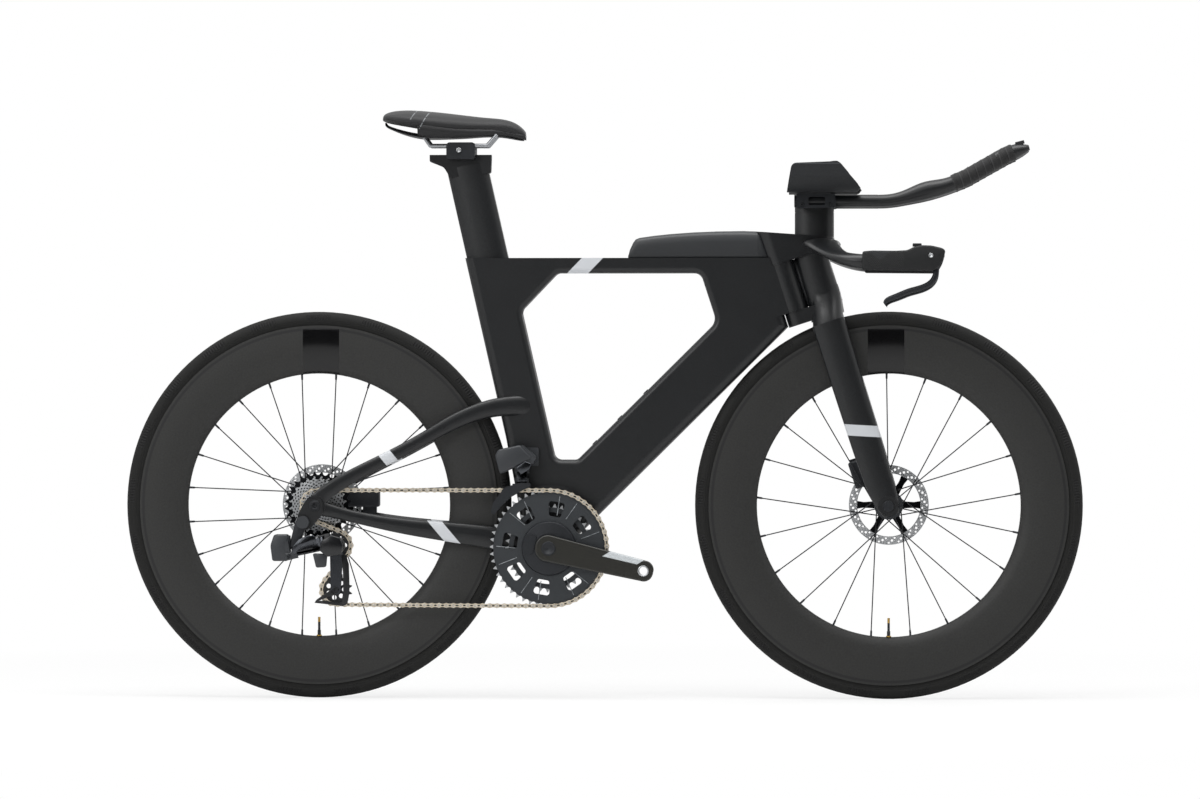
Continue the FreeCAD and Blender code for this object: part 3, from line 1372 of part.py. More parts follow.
stem_shape = stem_shape.cut(above_stem)

grip_mid = float(bar_run[-1][0].z) + cockpit_shift.z
grip_x = cockpit_shift.x
bar_ends = [pin(d.bar_end_radius, (grip_x + 470, side * bar_out, grip_mid), (grip_x + 545, side * bar_out, grip_mid))
            for side in (-1, 1)]
bar_shape = bar_wing(0.0).fuse(bar_ends[0]).fuse(bar_ends[1])
keep("base_bar", feature("base_bar", bar_shape))
bar_room = bar_wing(float(d.running_gap))
stem_bores = [bar_room, steer_rod(float(d.steerer_radius) + float(d.running_gap), bearing_high - 5, bearing_high + 38.5)]
for bore in stem_bores:
    stem_shape = stem_shape.cut(bore)
stem_shape = max(stem_shape.Solids, key=lambda s: s.Volume)
keep("stem", feature("stem", stem_shape))

riser_x = float(front_x) - 130
column_top = float(d.extension_height) - 8.4
column = Part.Face(oval(Vector(riser_x, 0, 0), Vector(1, 0, 0), Y_AXIS, 34.2, 17.5, 2.3, 0.12))
column = column.extrude(Vector(0, 0, column_top))
below_stem = Part.makeBox(500, 200, 900, Vector(-100, -100, -899.97))
below_stem.Placement = Placement(stem_top, Rotation(Y_AXIS, stem_fall))
column = column.cut(below_stem)
seam_z = column_top - 11
seam = Part.makeBox(200, 200, 0.8, Vector(riser_x - 100, -100, seam_z))
seam_core = Part.Face(oval(Vector(riser_x, 0, 0), Vector(1, 0, 0), Y_AXIS, 33.4, 16.7, 2.3, 0.12)).extrude(Vector(0, 0, 900))
column = column.cut(seam.cut(seam_core))
keep("riser_column", feature("riser_column", column))

# extensions with their clamps and buttons

ext_y, ext_z, ext_r = float(d.extension_half_spacing), float(d.extension_height), float(d.extension_radius)
ext_x = cockpit_shift.x
clamp_parts = [block(riser_x - 32, riser_x + 32, -ext_y - 14, ext_y + 14, column_top, column_top + 5)]
for side in (-1, 1):
    y = side * ext_y
    corners = [(riser_x - 30, ext_z - 12.6, 3), (riser_x + 39, ext_z - 11.5, 3), (riser_x + 37, ext_z + 12.4, 3), (riser_x - 30, ext_z + 13.6, 3)]
    clamp_parts.append(slab(corners, y - 16, y + 16))
clamps = joined(clamp_parts)
for side in (-1, 1):
    y = side * ext_y
    clamps = clamps.cut(pin(ext_r + float(d.running_gap), (riser_x - 90, y, ext_z), (riser_x + 90, y, ext_z)))
    window = slab([(riser_x - 9, ext_z - 7, 3), (riser_x + 20, ext_z - 7, 3), (riser_x + 20, ext_z + 7, 3), (riser_x - 9, ext_z + 7, 3)],
                  *sorted((y + side * 3, y + side * 30)))
    clamps = clamps.cut(window)
keep("extension_clamps", feature("extension_clamps", clamps))

extension_run = [
    (Vector(470, 0, 870.2), 10.9, 10.9),
    (Vector(484, 0, 870.2), 10.9, 10.9),
    (Vector(504, 0, 871.4), 11.0, 11.0),
    (Vector(530, 0, 877), 12, 12.4),
    (Vector(566, 0, 888), 14.5, 16),
    (Vector(600, 0, 896.2), 14.2, 14),
    (Vector(634, 0, 910), 14, 14),
    (Vector(672, 0, 931.5), 14, 14),
    (Vector(706, 0, 950.5), 14, 14),
    (Vector(728, 0, 958.5), 12.5, 11),
    (Vector(744.5, 0, 963), 7, 4.5),
]
button_base = Vector(728, 0, 971) + cockpit_shift
button_turn = Rotation(Y_AXIS, -14)
for label, side in (("right", -1), ("left", 1)):
    y = side * ext_y
    shift = cockpit_shift + Vector(0, y, ext_z - 870.2)
    tube = lofted(moved(extension_run, shift), 2.0)
    straight = pin(ext_r, (riser_x - 34, y, ext_z), (ext_x + 481, y, ext_z))
    pocket = Part.makeBox(16.4, 8.4, 20, Vector(-8.2, -4.2, -3.2 - float(d.button_travel)))
    pocket.Placement = Placement(button_base + Vector(0, y, ext_z - 870.2), button_turn)
    cap = Part.makeBox(16, 8, 6, Vector(-8, -4, -3))
    cap = cap.makeFillet(1.2, [e for e in cap.Edges if e.BoundBox.ZMin > 2])
    whole = tube.fuse(straight).removeSplitter().cut(pocket)
    keep(f"{label}_extension", feature(f"{label}_extension", whole))
    keep(f"{label}_extension_button", feature(f"{label}_extension_button", cap, pocket.Placement))

# grips with lever housings, brake levers and bar buttons

grip_run = [
    (Vector(455, 0, 762.5), 16.2, 16.4),
    (Vector(461, 0, 762.5), 16.4, 17.8),
    (Vector(500, 0, 762.5), 15.5, 18),
    (Vector(526, 0, 763), 15.5, 18.6),
    (Vector(549, 0, 768), 15.5, 23),
    (Vector(574, 0, 769), 15, 19.8),
    (Vector(586, 0, 774), 13, 12),
    (Vector(592, 0, 776.5), 9, 6),
]
pivot = Vector(570.2, 0, 772.2) + cockpit_shift
lever_run = [
    (Vector(569, 0, 776), 4.6, 4.9),
    (Vector(580, 0, 765), 4.8, 5.0),
    (Vector(583, 0, 748), 5, 5.0),
    (Vector(577, 0, 730), 5, 6.2),
    (Vector(561, 0, 719), 5, 6.4),
    (Vector(536, 0, 711.5), 5, 6),
    (Vector(512, 0, 702), 4.8, 5.4),
    (Vector(494, 0, 689), 3.6, 3.6),
]
grips = []
for label, side in (("right", -1), ("left", 1)):
    y = side * bar_out
    shift = cockpit_shift + Vector(0, y, 0)
    grip = lofted(moved(grip_run, shift), 2.3)
    grip = grip.cut(pin(d.bar_end_radius + d.running_gap, (grip_x + 470, y, grip_mid), (grip_x + 545.3, y, grip_mid)))
    grip = grip.cut(bar_room)
    grip = grip.cut(block(pivot.x - 13, pivot.x + 40, y - 6.4, y + 6.4, pivot.z - 60, pivot.z + 12))
    grip = max(grip.Solids, key=lambda s: s.Volume)
    hinge = pin(2.5, (pivot.x, y - 11, pivot.z), (pivot.x, y + 11, pivot.z))
    recess = block(grip_x + 542, grip_x + 558, y - 5, y + 5, grip_mid + 24, grip_mid + 60)
    grips.append(grip.fuse(hinge).cut(recess))
    lever = lofted(moved(lever_run, shift), 2.6, 0.0, Y_AXIS)
    boss = pin(8.5, (pivot.x, y - 5.4, pivot.z), (pivot.x, y + 5.4, pivot.z))
    lever = lever.fuse(boss).cut(pin(2.5 + float(d.running_gap), (pivot.x, y - 20, pivot.z), (pivot.x, y + 20, pivot.z)))
    keep(f"{label}_brake_lever", feature(f"{label}_brake_lever", lever.removeSplitter()))
    button = block(grip_x + 542.2, grip_x + 557.8, y - 4.8, y + 4.8, grip_mid + 25.7, grip_mid + 31.5)
    button = button.makeFillet(1.5, [e for e in button.Edges if e.BoundBox.ZMin > grip_mid + 31])
    keep(f"{label}_bar_button", feature(f"{label}_bar_button", button))
keep("bar_grips", feature("bar_grips", Part.makeCompound(grips)))

# arm cups and pads

cup_y = float(d.cup_half_spacing)
cup_floor = ext_z + 13.6
cup_side = [(riser_x - 47, cup_floor - 4), (riser_x - 37, cup_floor + 51, 10), (riser_x + 45, cup_floor + 54, 12), (riser_x + 83, cup_floor + 5, 6), (riser_x + 60, cup_floor - 4, 6)]
pad_side = [(riser_x - 45, cup_floor), (riser_x - 37, cup_floor + 53, 10), (riser_x + 46, cup_floor + 57, 12), (riser_x + 87, cup_floor + 6, 6), (riser_x + 64, cup_floor, 6)]


def trough(outer, inner, y, bottom, height):
    """A round-bottomed channel along X; its wall stands between two half ovals."""
    def half(reach, low):
        points = [Vector(0, y - reach, height), Vector(0, y - reach, low + reach * 0.62)]
        edges = [Part.makeLine(points[0], points[1])]
        edges.append(Part.Arc(points[1], Vector(0, y - reach * 0.62, low + reach * 0.13), Vector(0, y - reach * 0.3, low)).toShape())
        edges.append(Part.makeLine(Vector(0, y - reach * 0.3, low), Vector(0, y + reach * 0.3, low)))
        edges.append(Part.Arc(Vector(0, y + reach * 0.3, low), Vector(0, y + reach * 0.62, low + reach * 0.13), Vector(0, y + reach, low + reach * 0.62)).toShape())
        edges.append(Part.makeLine(Vector(0, y + reach, low + reach * 0.62), Vector(0, y + reach, height)))
        edges.append(Part.makeLine(Vector(0, y + reach, height), points[0]))
        return Part.Face(Part.Wire(edges)).extrude(Vector(300, 0, 0))
    shape = half(outer, bottom).cut(half(inner, bottom + outer - inner))
    shape.translate(Vector(riser_x - 120, 0, 0))
    return shape


cups, pads = [], []
cup_out, cup_wall, pad_wall = 44.0, 3.0, 8.0
for side in (-1, 1):
    y = side * cup_y
    low = cup_floor + 1.0
    cup = trough(cup_out, cup_out - cup_wall, y, low, low + 90).common(slab(cup_side, y - 80, y + 80))
    pedestal = block(riser_x - 22, riser_x + 28, *sorted((y - side * 36, y - side * 8)), cup_floor - 1.2, low + 1.5)
    foot = block(riser_x - 22, riser_x + 28, *sorted((side * (ext_y - 8), side * (ext_y + 14))), ext_z + 12, low + 1.0)
    cups.append(cup.fuse([pedestal, foot]).removeSplitter())
    inset = cup_out - cup_wall - float(d.face_gap)
    pad = trough(inset, inset - pad_wall, y, low + cup_wall + float(d.face_gap), low + 90).common(slab(pad_side, y - 80, y + 80))
    pads.append(pad)
cup_shape = [c.cut(clamps) for c in cups]
keep("arm_cups", feature("arm_cups", Part.makeCompound([max(c.Solids, key=lambda s: s.Volume) for c in cup_shape])))
keep("arm_pads", feature("arm_pads", Part.makeCompound(pads)))

# storage box

box_x = seat_line(top_z) + 205.0
box_outline = [
    (box_x + 43, top_z),
    (box_x + 55, top_z + 33, 8),
    (box_x + 168, top_z + 46.5, 300),
    (box_x + 300, top_z + 45, 6),
    (box_x + 310, top_z),
]
box = slab(box_outline, -18, 18)
long_edges = [e for e in box.Edges if e.BoundBox.YLength < 1e-6 and e.BoundBox.ZMax > top_z + 20 and e.BoundBox.XLength > 1]
box = box.makeFillet(6.0, long_edges)
box = box.cut(steer_rod(stem_r + float(d.steering_gap), bearing_high - 20, bearing_high + 140))
keep("storage_box", feature("storage_box", max(box.Solids, key=lambda s: s.Volume)))

# seatpost, saddle clamp, rails and saddle

post_top = Vector(seat_line(935), 0, 935)
post_length = (post_top - post_bottom).Length
post = Part.Face(post_section(post_bottom)).extrude(seat_up * post_length)
seat_x = seat_line(953) + 245.6
rail_z = float(d.rail_height)
track_top = rail_z - 15.7
head_outline = [
    (seat_x - 306, track_top), (seat_x - 198, track_top), (seat_x - 198, track_top - 8, 3),
    (seat_x - 199, track_top - 32, 3), (seat_x - 270, track_top - 40, 3), (seat_x - 281, track_top - 22, 14), (seat_x - 306, track_top - 12, 4),
]
head = slab(head_outline, -11.5, 11.5)
keep("seatpost", feature("seatpost", post.common(block(-600, 200, -60, 60, 0, track_top - 14)).fuse(head).removeSplitter()))

clamp_x = seat_x - 250.5
rail_y, rail_r = float(d.rail_half_spacing), float(d.rail_radius)
cradle = slab([(clamp_x - 25, track_top - 8, 4), (clamp_x + 25, track_top - 8, 4), (clamp_x + 25, track_top + 21.5, 6), (clamp_x - 25, track_top + 21.5, 6)], -29, 29)
cradle = cradle.cut(block(clamp_x - 40, clamp_x + 40, -11.5 - float(d.sliding_gap), 11.5 + float(d.sliding_gap), track_top - 20, track_top + float(d.running_gap)))
for side in (-1, 1):
    cradle = cradle.cut(pin(rail_r + float(d.running_gap), (clamp_x - 60, side * rail_y, rail_z), (clamp_x + 60, side * rail_y, rail_z)))
bolt = pin(4.5, (clamp_x - 3, -31, track_top + 7), (clamp_x - 3, 31, track_top + 7))
keep("saddle_clamp", feature("saddle_clamp", cradle.fuse(bolt).removeSplitter()))

saddle_shift = Vector(seat_x, 0, rail_z - 968.7)


def rail(side, radius):
    y = side * rail_y
    rear_end, rear_bend = Vector(-315, y, 984.3), Vector(-304, y, 968.7)
    front_bend, front_end = Vector(-204, y, 968.7), Vector(-187, y, 988.2)
    points = [rear_end, rear_bend, front_bend, front_end]
    made = [pin(radius, a + saddle_shift, b + saddle_shift) for a, b in zip(points, points[1:])]
    made += [Part.makeSphere(radius, p + saddle_shift) for p in (rear_bend, front_bend)]
    return joined(made)


keep("saddle_rails", feature("saddle_rails", Part.makeCompound([rail(-1, rail_r), rail(1, rail_r)])))


def saddle_section(x, half_width, top, bottom, sag):
    """A crowned section with drawn-in sides; sag lowers the rims below the middle."""
    points = []
    middle = (top + bottom) / 2
    for step in range(20):
        angle = 2 * math.pi * step / 20
        c, s = math.cos(angle), math.sin(angle)
        y = half_width * math.copysign(abs(c) ** 0.8, c)
        z = middle + (top - bottom) / 2 * math.copysign(abs(s) ** 0.75, s) - sag * (y / half_width) ** 2
        points.append(Vector(x, y, z) + saddle_shift)
    curve = Part.BSplineCurve()
    curve.interpolate(Points=points, PeriodicFlag=True)
    return Part.Wire(curve.toShape())


cover_sections = [
    (-386.5, 30, 1020, 1012.5, 1),
    (-378, 56, 1028, 1009, 3),
    (-355, 65, 1031.5, 1005, 5),
    (-320, 66, 1030.5, 999, 6),
    (-285, 57, 1027, 994, 6),
    (-240, 40, 1021.3, 992.5, 5),
    (-205, 29, 1018, 992.8, 4),
    (-172, 24.5, 1015, 989.5, 3),
    (-150, 21.5, 1006, 984, 2),
    (-136.5, 12, 993, 982, 1),
]
shell_sections = [
    (-383, 26, 1009.6, 1005.5, 0.5),
    (-372, 48, 1002, 997, 2),
    (-352, 56, 996, 990, 3),
    (-320, 56, 990, 984, 4),
    (-285, 48, 988.6, 983.5, 4),
    (-240, 34, 989.4, 984.5, 3.5),
    (-205, 25, 990.6, 986, 3),
    (-172, 20, 987.8, 983, 2),
    (-150, 16, 982.4, 979, 1.5),
    (-141, 10, 980.6, 977.8, 1),
]
cover = Part.makeLoft([saddle_section(*s) for s in cover_sections], True, False)
shell = Part.makeLoft([saddle_section(*s) for s in shell_sections], True, False)
keep("saddle_cover", feature("saddle_cover", cover))
shell = shell.cut(cover)
for side in (-1, 1):
    shell = shell.cut(rail(side, rail_r + float(d.running_gap)))
keep("saddle_shell", feature("saddle_shell", max(shell.Solids, key=lambda s: s.Volume)))

# each piece is checked, then written to its own file

doc.recompute()
os.makedirs("parts", exist_ok=True)
for item in doc.Objects:
    if "Invalid" in item.State or "Error" in item.State:
        raise RuntimeError(f"{item.Label} did not build: {item.State}")
for label, item in pieces.items():
    if item.Shape.isNull() or not item.Shape.isValid():
        raise RuntimeError(f"{label} has no valid shape")
    if not item.Shape.Solids:
        raise RuntimeError(f"{label} has no solid")
    item.Shape.exportStep(f"parts/{label}.step")
print(len(pieces), "pieces")
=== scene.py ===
import math

import bmesh
import bpy
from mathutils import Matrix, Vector


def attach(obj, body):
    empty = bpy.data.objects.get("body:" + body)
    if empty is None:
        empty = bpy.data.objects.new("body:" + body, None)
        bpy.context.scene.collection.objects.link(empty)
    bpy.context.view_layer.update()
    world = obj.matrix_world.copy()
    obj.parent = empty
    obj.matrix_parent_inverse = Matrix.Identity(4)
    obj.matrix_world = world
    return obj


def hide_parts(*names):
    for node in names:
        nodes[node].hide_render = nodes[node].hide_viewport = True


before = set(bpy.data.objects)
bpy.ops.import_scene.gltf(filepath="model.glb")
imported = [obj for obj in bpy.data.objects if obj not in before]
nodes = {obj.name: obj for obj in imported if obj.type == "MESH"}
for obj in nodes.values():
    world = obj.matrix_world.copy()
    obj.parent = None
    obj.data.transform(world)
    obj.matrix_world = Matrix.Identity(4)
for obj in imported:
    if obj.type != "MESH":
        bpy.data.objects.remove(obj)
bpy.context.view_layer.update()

# Places on the bike, in millimetres: X forward, Y left, Z up, the ground at zero

REAR_AXLE = Vector((-500, 0, 339))
FRONT_AXLE = Vector((500, 0, 339))
CRANK_AXLE = Vector((-92.2, 0, 264.5))
ARM_FALL = math.radians(13.2)
CHAIN_LINE = -49.0
RIM_NOSE = 230.4
ARM_FACE = 72.6
CRANK_LENGTH = 170.0
LEVER_SPREAD = 190.0
GRIP_HALF = 16.6
MM = 1000.0
LEFT = Vector((0, 1, 0))
RIGHT = Vector((0, -1, 0))
UP = Vector((0, 0, 1))


# Finishes

def linear(text):
    """An sRGB hex colour as linear numbers."""
    out = []
    for start in (1, 3, 5):
        part = int(text[start:start + 2], 16) / 255
        out.append(part / 12.92 if part <= 0.04045 else ((part + 0.055) / 1.055) ** 2.4)
    return (*out, 1.0)


def add(tree, kind, inputs, **settings):
    """One shader node with its settings; an input's value is a number, a colour or another node's output."""
    made = tree.nodes.new(kind)
    for key, value in settings.items():
        setattr(made, key, value)
    for key, value in inputs.items():
        if isinstance(value, bpy.types.NodeSocket):
            tree.links.new(value, made.inputs[key])
        else:
            made.inputs[key].default_value = value
    return made


class Finish:
    """A material, laid out in millimetres on the bike, with one colour, one roughness and a stack of bumps."""

    def __init__(self, name, colour, roughness, **sockets):
        self.material = bpy.data.materials.new(name)
        self.material.use_nodes = True
        self.tree = self.material.node_tree
        self.shader = self.tree.nodes["Principled BSDF"]
        self.colour = linear(colour)
        self.roughness = roughness
        self.normal = None
        self.shader.inputs["Base Color"].default_value = self.colour
        self.shader.inputs["Roughness"].default_value = roughness
        for key, value in sockets.items():
            self.shader.inputs[key.replace("_", " ")].default_value = value
        self.material.diffuse_color = self.colour
        spot = add(self.tree, "ShaderNodeTexCoord", {})
        self.place = self.reckon("MULTIPLY", spot.outputs["Object"], (MM, MM, MM), kind="VectorMath")

    def reckon(self, operation, *values, kind="Math", output=0):
        """One step of arithmetic, on numbers or on vectors."""
        inputs = dict(enumerate(values))
        return add(self.tree, f"ShaderNode{kind}", inputs, operation=operation).outputs[output]

    def wave(self, value, rate):
        """A sine of a value, in radians of the rate for each unit."""
        return self.reckon("SINE", self.reckon("MULTIPLY", value, rate))

    def along(self, direction, point=(0, 0, 0)):
        """How far a spot lies from a point, measured along a direction."""
        way = self.reckon("SUBTRACT", self.place, Vector(point), kind="VectorMath")
        ahead = Vector(direction).normalized()
        return self.reckon("DOT_PRODUCT", way, ahead, kind="VectorMath", output="Value")

    def out_from(self, centre):
        """Distance from an axle."""
        way = self.reckon("SUBTRACT", self.place, centre, kind="VectorMath")
        flat = self.reckon("MULTIPLY", way, (1, 0, 1), kind="VectorMath")
        return self.reckon("LENGTH", flat, kind="VectorMath", output="Value")

    def round_about(self, centre):
        """Angle round an axle, from minus pi to pi."""
        return self.reckon("ARCTAN2", self.along(UP, centre), self.along((1, 0, 0), centre))

    def between(self, value, low, high, soft=0.4):
        """One inside a range of a value, zero outside, with soft edges."""
        ramps = []
        for edge, first, last in ((low, 0.0, 1.0), (high, 1.0, 0.0)):
            inputs = {"Value": value, "From Min": edge - soft, "From Max": edge + soft,
                      "To Min": first, "To Max": last}
            ramps.append(add(self.tree, "ShaderNodeMapRange", inputs).outputs[0])
        return self.reckon("MULTIPLY", *ramps)

    def cloud(self, size, detail=2.0, stretch=(1, 1, 1)):
        """Soft noise with lumps of a size in millimetres."""
        where = self.reckon("MULTIPLY", self.place, stretch, kind="VectorMath")
        inputs = {"Vector": where, "Scale": 1 / size, "Detail": detail}
        return add(self.tree, "ShaderNodeTexNoise", inputs).outputs["Fac"]

    def paint(self, mask, colour):
        inputs = {0: mask, 6: self.colour, 7: linear(colour)}
        self.colour = add(self.tree, "ShaderNodeMix", inputs, data_type="RGBA").outputs[2]
        self.tree.links.new(self.colour, self.shader.inputs["Base Color"])
        return self

    def polish(self, mask, roughness):
        inputs = {0: mask, 2: self.roughness, 3: roughness}
        self.roughness = add(self.tree, "ShaderNodeMix", inputs).outputs[0]
        self.tree.links.new(self.roughness, self.shader.inputs["Roughness"])
        return self

    def raise_by(self, height, depth):
        """Adds a bump of a depth in millimetres."""
        inputs = {"Height": height, "Strength": 1.0, "Distance": depth * 0.001}
        if self.normal is not None:
            inputs["Normal"] = self.normal
        self.normal = add(self.tree, "ShaderNodeBump", inputs).outputs[0]
        self.tree.links.new(self.normal, self.shader.inputs["Normal"])
        return self


def clear_coated_carbon(name):
    """Moulded carbon under satin black lacquer: near black, a faint cool sheen, tiny lacquer ripple."""
    made = Finish(name, "#0d0e10", 0.36, Specular_IOR_Level=0.4, Coat_Weight=0.12, Coat_Roughness=0.25)
    flecks = made.cloud(1.6, 3.0)
    made.paint(made.between(flecks, 0.52, 0.9, 0.12), "#16181a")
    made.polish(made.cloud(60.0, 3.0), 0.42)
    return made.raise_by(made.cloud(2.4, 1.0), 0.012)


SILVER_PAINT = "#c9ccd0"

frame_lacquer = clear_coated_carbon("satin_lacquered_carbon_frame")
bar_at_top = frame_lacquer.reckon(
    "MULTIPLY",
    frame_lacquer.between(frame_lacquer.along((0.717, 0, -0.697), (-30, 0, 759.5)), -13.3, 13.3),
    frame_lacquer.between(frame_lacquer.along(UP), 742, 790))
seat_stay_bar = frame_lacquer.reckon(
    "MULTIPLY",
    frame_lacquer.between(frame_lacquer.along((0.775, 0, 0.633), (-374, 0, 423)), -10.5, 10.5),
    frame_lacquer.between(frame_lacquer.along(UP), 395, 445))
chain_stay_bar = frame_lacquer.reckon(
    "MULTIPLY",
    frame_lacquer.between(frame_lacquer.along((0.769, 0, 0.639), (-278, 0, 293)), -9.4, 9.4),
    frame_lacquer.between(frame_lacquer.along(UP), 262, 322))
for silver in (bar_at_top, seat_stay_bar, chain_stay_bar):
    frame_lacquer.paint(silver, SILVER_PAINT)

fork_lacquer = clear_coated_carbon("satin_lacquered_carbon_fork")
blade_rise = fork_lacquer.along((0.055, 0, 1), (456, 0, 470))
fork_lacquer.paint(fork_lacquer.between(blade_rise, -9.7, 9.7), SILVER_PAINT)

cockpit_carbon = clear_coated_carbon("satin_lacquered_carbon_cockpit")

# Matte pressed carbon of the arm cups: even charcoal, with a painted highlight as a thin pale line along the
# upper edge
cup_carbon = Finish("matte_pressed_carbon_cup", "#1d1e20", 0.58, Specular_IOR_Level=0.32)
cup_carbon.paint(cup_carbon.between(cup_carbon.cloud(1.8, 3.0), 0.52, 0.9, 0.12), "#242628")
# Painted highlight: a thin pale line at the height of the cups' upper edge
cup_carbon.paint(cup_carbon.between(cup_carbon.along(UP), 933.4, 934.6, 0.4), "#4a4d50")
cup_carbon.raise_by(cup_carbon.cloud(2.4, 1.0), 0.015)

# Pressed carbon rim: matte charcoal with a soft mottled fibre grain, and one glossy black square at the top
rim_carbon = {}
for wheel, axle in (("rear", REAR_AXLE), ("front", FRONT_AXLE)):
    hoop = Finish(f"matte_carbon_rim_{wheel}", "#1f1f1e", 0.52, Specular_IOR_Level=0.4)
    grain = hoop.cloud(3.0, 3.0)
    hoop.paint(hoop.between(grain, 0.5, 0.95, 0.2), "#272726")
    square = hoop.reckon(
        "MULTIPLY",
        hoop.between(hoop.along((1, 0, 0), axle), -32 - axle.x * 0.009, 32 - axle.x * 0.009),
        hoop.between(hoop.along(UP, axle), 222, 308))
    hoop.paint(square, "#0b0b0c")
    hoop.polish(square, 0.16)
    edge = hoop.between(hoop.out_from(axle), 306.5, 311, 0.8)
    hoop.paint(edge, "#141415")
    hoop.raise_by(hoop.cloud(1.2, 2.0), 0.02)
    rim_carbon[wheel] = hoop

# Natural rubber tyre: soft black, rough, with file-cut shoulder grooves and a smooth crown
tyre_rubber = {}
for wheel, axle in (("rear", REAR_AXLE), ("front", FRONT_AXLE)):
    tread = Finish(f"vulcanised_rubber_tyre_{wheel}", "#111110", 0.74, Specular_IOR_Level=0.3)
    out = tread.out_from(axle)
    turn = tread.round_about(axle)
    fine = tread.wave(turn, 420.0)
    gate = tread.reckon("GREATER_THAN", tread.wave(turn, 21.0), 0.15)
    shoulder = tread.between(out, 325.5, 333.5, 0.6)
    cuts = tread.reckon("MULTIPLY", tread.reckon("MULTIPLY", fine, gate), shoulder)
    tread.paint(tread.between(tread.cloud(2.2, 3.0), 0.5, 0.9, 0.2), "#171716")
    tread.paint(tread.reckon("MULTIPLY", shoulder, gate), "#0f0f0f")
    tread.raise_by(cuts, 0.5)
    line = tread.between(out, 321.0, 322.0, 0.3)
    tread.raise_by(line, 0.4)
    tread.raise_by(tread.cloud(0.9, 2.0), 0.05)
    tyre_rubber[wheel] = tread


def anodised_black(name, colour="#232528", roughness=0.42):
    """Bead-blasted aluminium, black anodised: a dull grey metal sheen with fine grit."""
    made = Finish(name, colour, roughness, Metallic=0.55)
    made.paint(made.between(made.cloud(0.8, 2.0), 0.55, 0.95, 0.15), "#2e3034")
    made.polish(made.cloud(14.0, 3.0), roughness + 0.1)
    return made.raise_by(made.cloud(0.7, 2.0), 0.015)


black_alloy = anodised_black("anodised_aluminium_black")

# Dark chrome plate over polished aluminium: a smoky mirror with soft patches
dark_chrome = Finish("dark_chrome_plate", "#4a4c50", 0.16, Metallic=1.0)
dark_chrome.polish(dark_chrome.cloud(9.0, 3.0), 0.26)
dark_chrome.raise_by(dark_chrome.cloud(1.5, 2.0), 0.008)

# Stainless wire, drawn and black oxidised: dark grey with a thin highlight along its length
spoke_steel = Finish("black_oxide_stainless_spoke", "#2b2c2e", 0.3, Metallic=0.9)
spoke_steel.polish(spoke_steel.cloud(6.0, 2.0), 0.4)

# Ground stainless brake ring on a black carrier: fine ring-shaped grinding marks
rotor_steel = {}
for wheel, axle in (("rear", REAR_AXLE), ("front", FRONT_AXLE)):
    ring = Finish(f"ground_stainless_rotor_{wheel}", "#b9bbbd", 0.3, Metallic=1.0)
    out = ring.out_from(axle)
    ring.raise_by(ring.wave(out, 9.0), 0.02)
    ring.polish(ring.cloud(5.0, 3.0), 0.42)
    ring.paint(ring.between(out, 10, 55.6, 0.3), "#17181a")
    rotor_steel[wheel] = ring

# Nickel-plated chain steel: warm champagne metal with duller patches
chain_nickel = Finish("nickel_plated_chain", "#e6dccb", 0.34, Metallic=1.0)
chain_nickel.polish(chain_nickel.cloud(4.0, 3.0), 0.4)
chain_nickel.paint(chain_nickel.between(chain_nickel.cloud(7.0, 3.0), 0.55, 0.9, 0.2), "#cfc2ab")

# Hard-chromed sprockets: bright steel with rows of painted shade where the relief holes are, the largest one
# black
sprocket_steel = Finish("chromed_sprocket_steel", "#b4b6b8", 0.28, Metallic=1.0)
sprocket_steel.polish(sprocket_steel.cloud(5.0, 3.0), 0.4)
sprocket_out = sprocket_steel.out_from(REAR_AXLE)
hole_rows = sprocket_steel.wave(sprocket_out, 1.05)
hole_turns = sprocket_steel.wave(sprocket_steel.round_about(REAR_AXLE), 26.0)
# Painted shade: rows of dark spots stand in for the shaded depth of the relief holes
relief_hole_shade = sprocket_steel.between(sprocket_steel.reckon("MULTIPLY", hole_rows, hole_turns), 0.38, 2.0, 0.06)
sprocket_steel.paint(relief_hole_shade, "#191a1b")
sprocket_steel.paint(sprocket_steel.between(sprocket_steel.along(LEFT), -21.6, -10, 0.2), "#1b1c1e")
sprocket_steel.raise_by(sprocket_steel.wave(sprocket_out, 12.0), 0.015)

# Milled chainring: black anodised face, bare metal on the teeth
ring_alloy = Finish("milled_chainring_aluminium", "#34373a", 0.46, Metallic=0.45)
ring_out = ring_alloy.out_from(CRANK_AXLE)
ring_alloy.polish(ring_alloy.cloud(8.0, 3.0), 0.5)
ring_alloy.raise_by(ring_alloy.wave(ring_out, 6.0), 0.02)
outer_teeth = ring_alloy.between(ring_out, 98.2, 120, 0.3)
inner_ring = ring_alloy.between(ring_alloy.along(LEFT), -43.4, -30, 0.2)
inner_teeth = ring_alloy.reckon("MULTIPLY", inner_ring, ring_alloy.between(ring_out, 71.5, 90, 0.3))
for bare_metal in (outer_teeth, inner_teeth):
    ring_alloy.paint(bare_metal, "#a9abad")

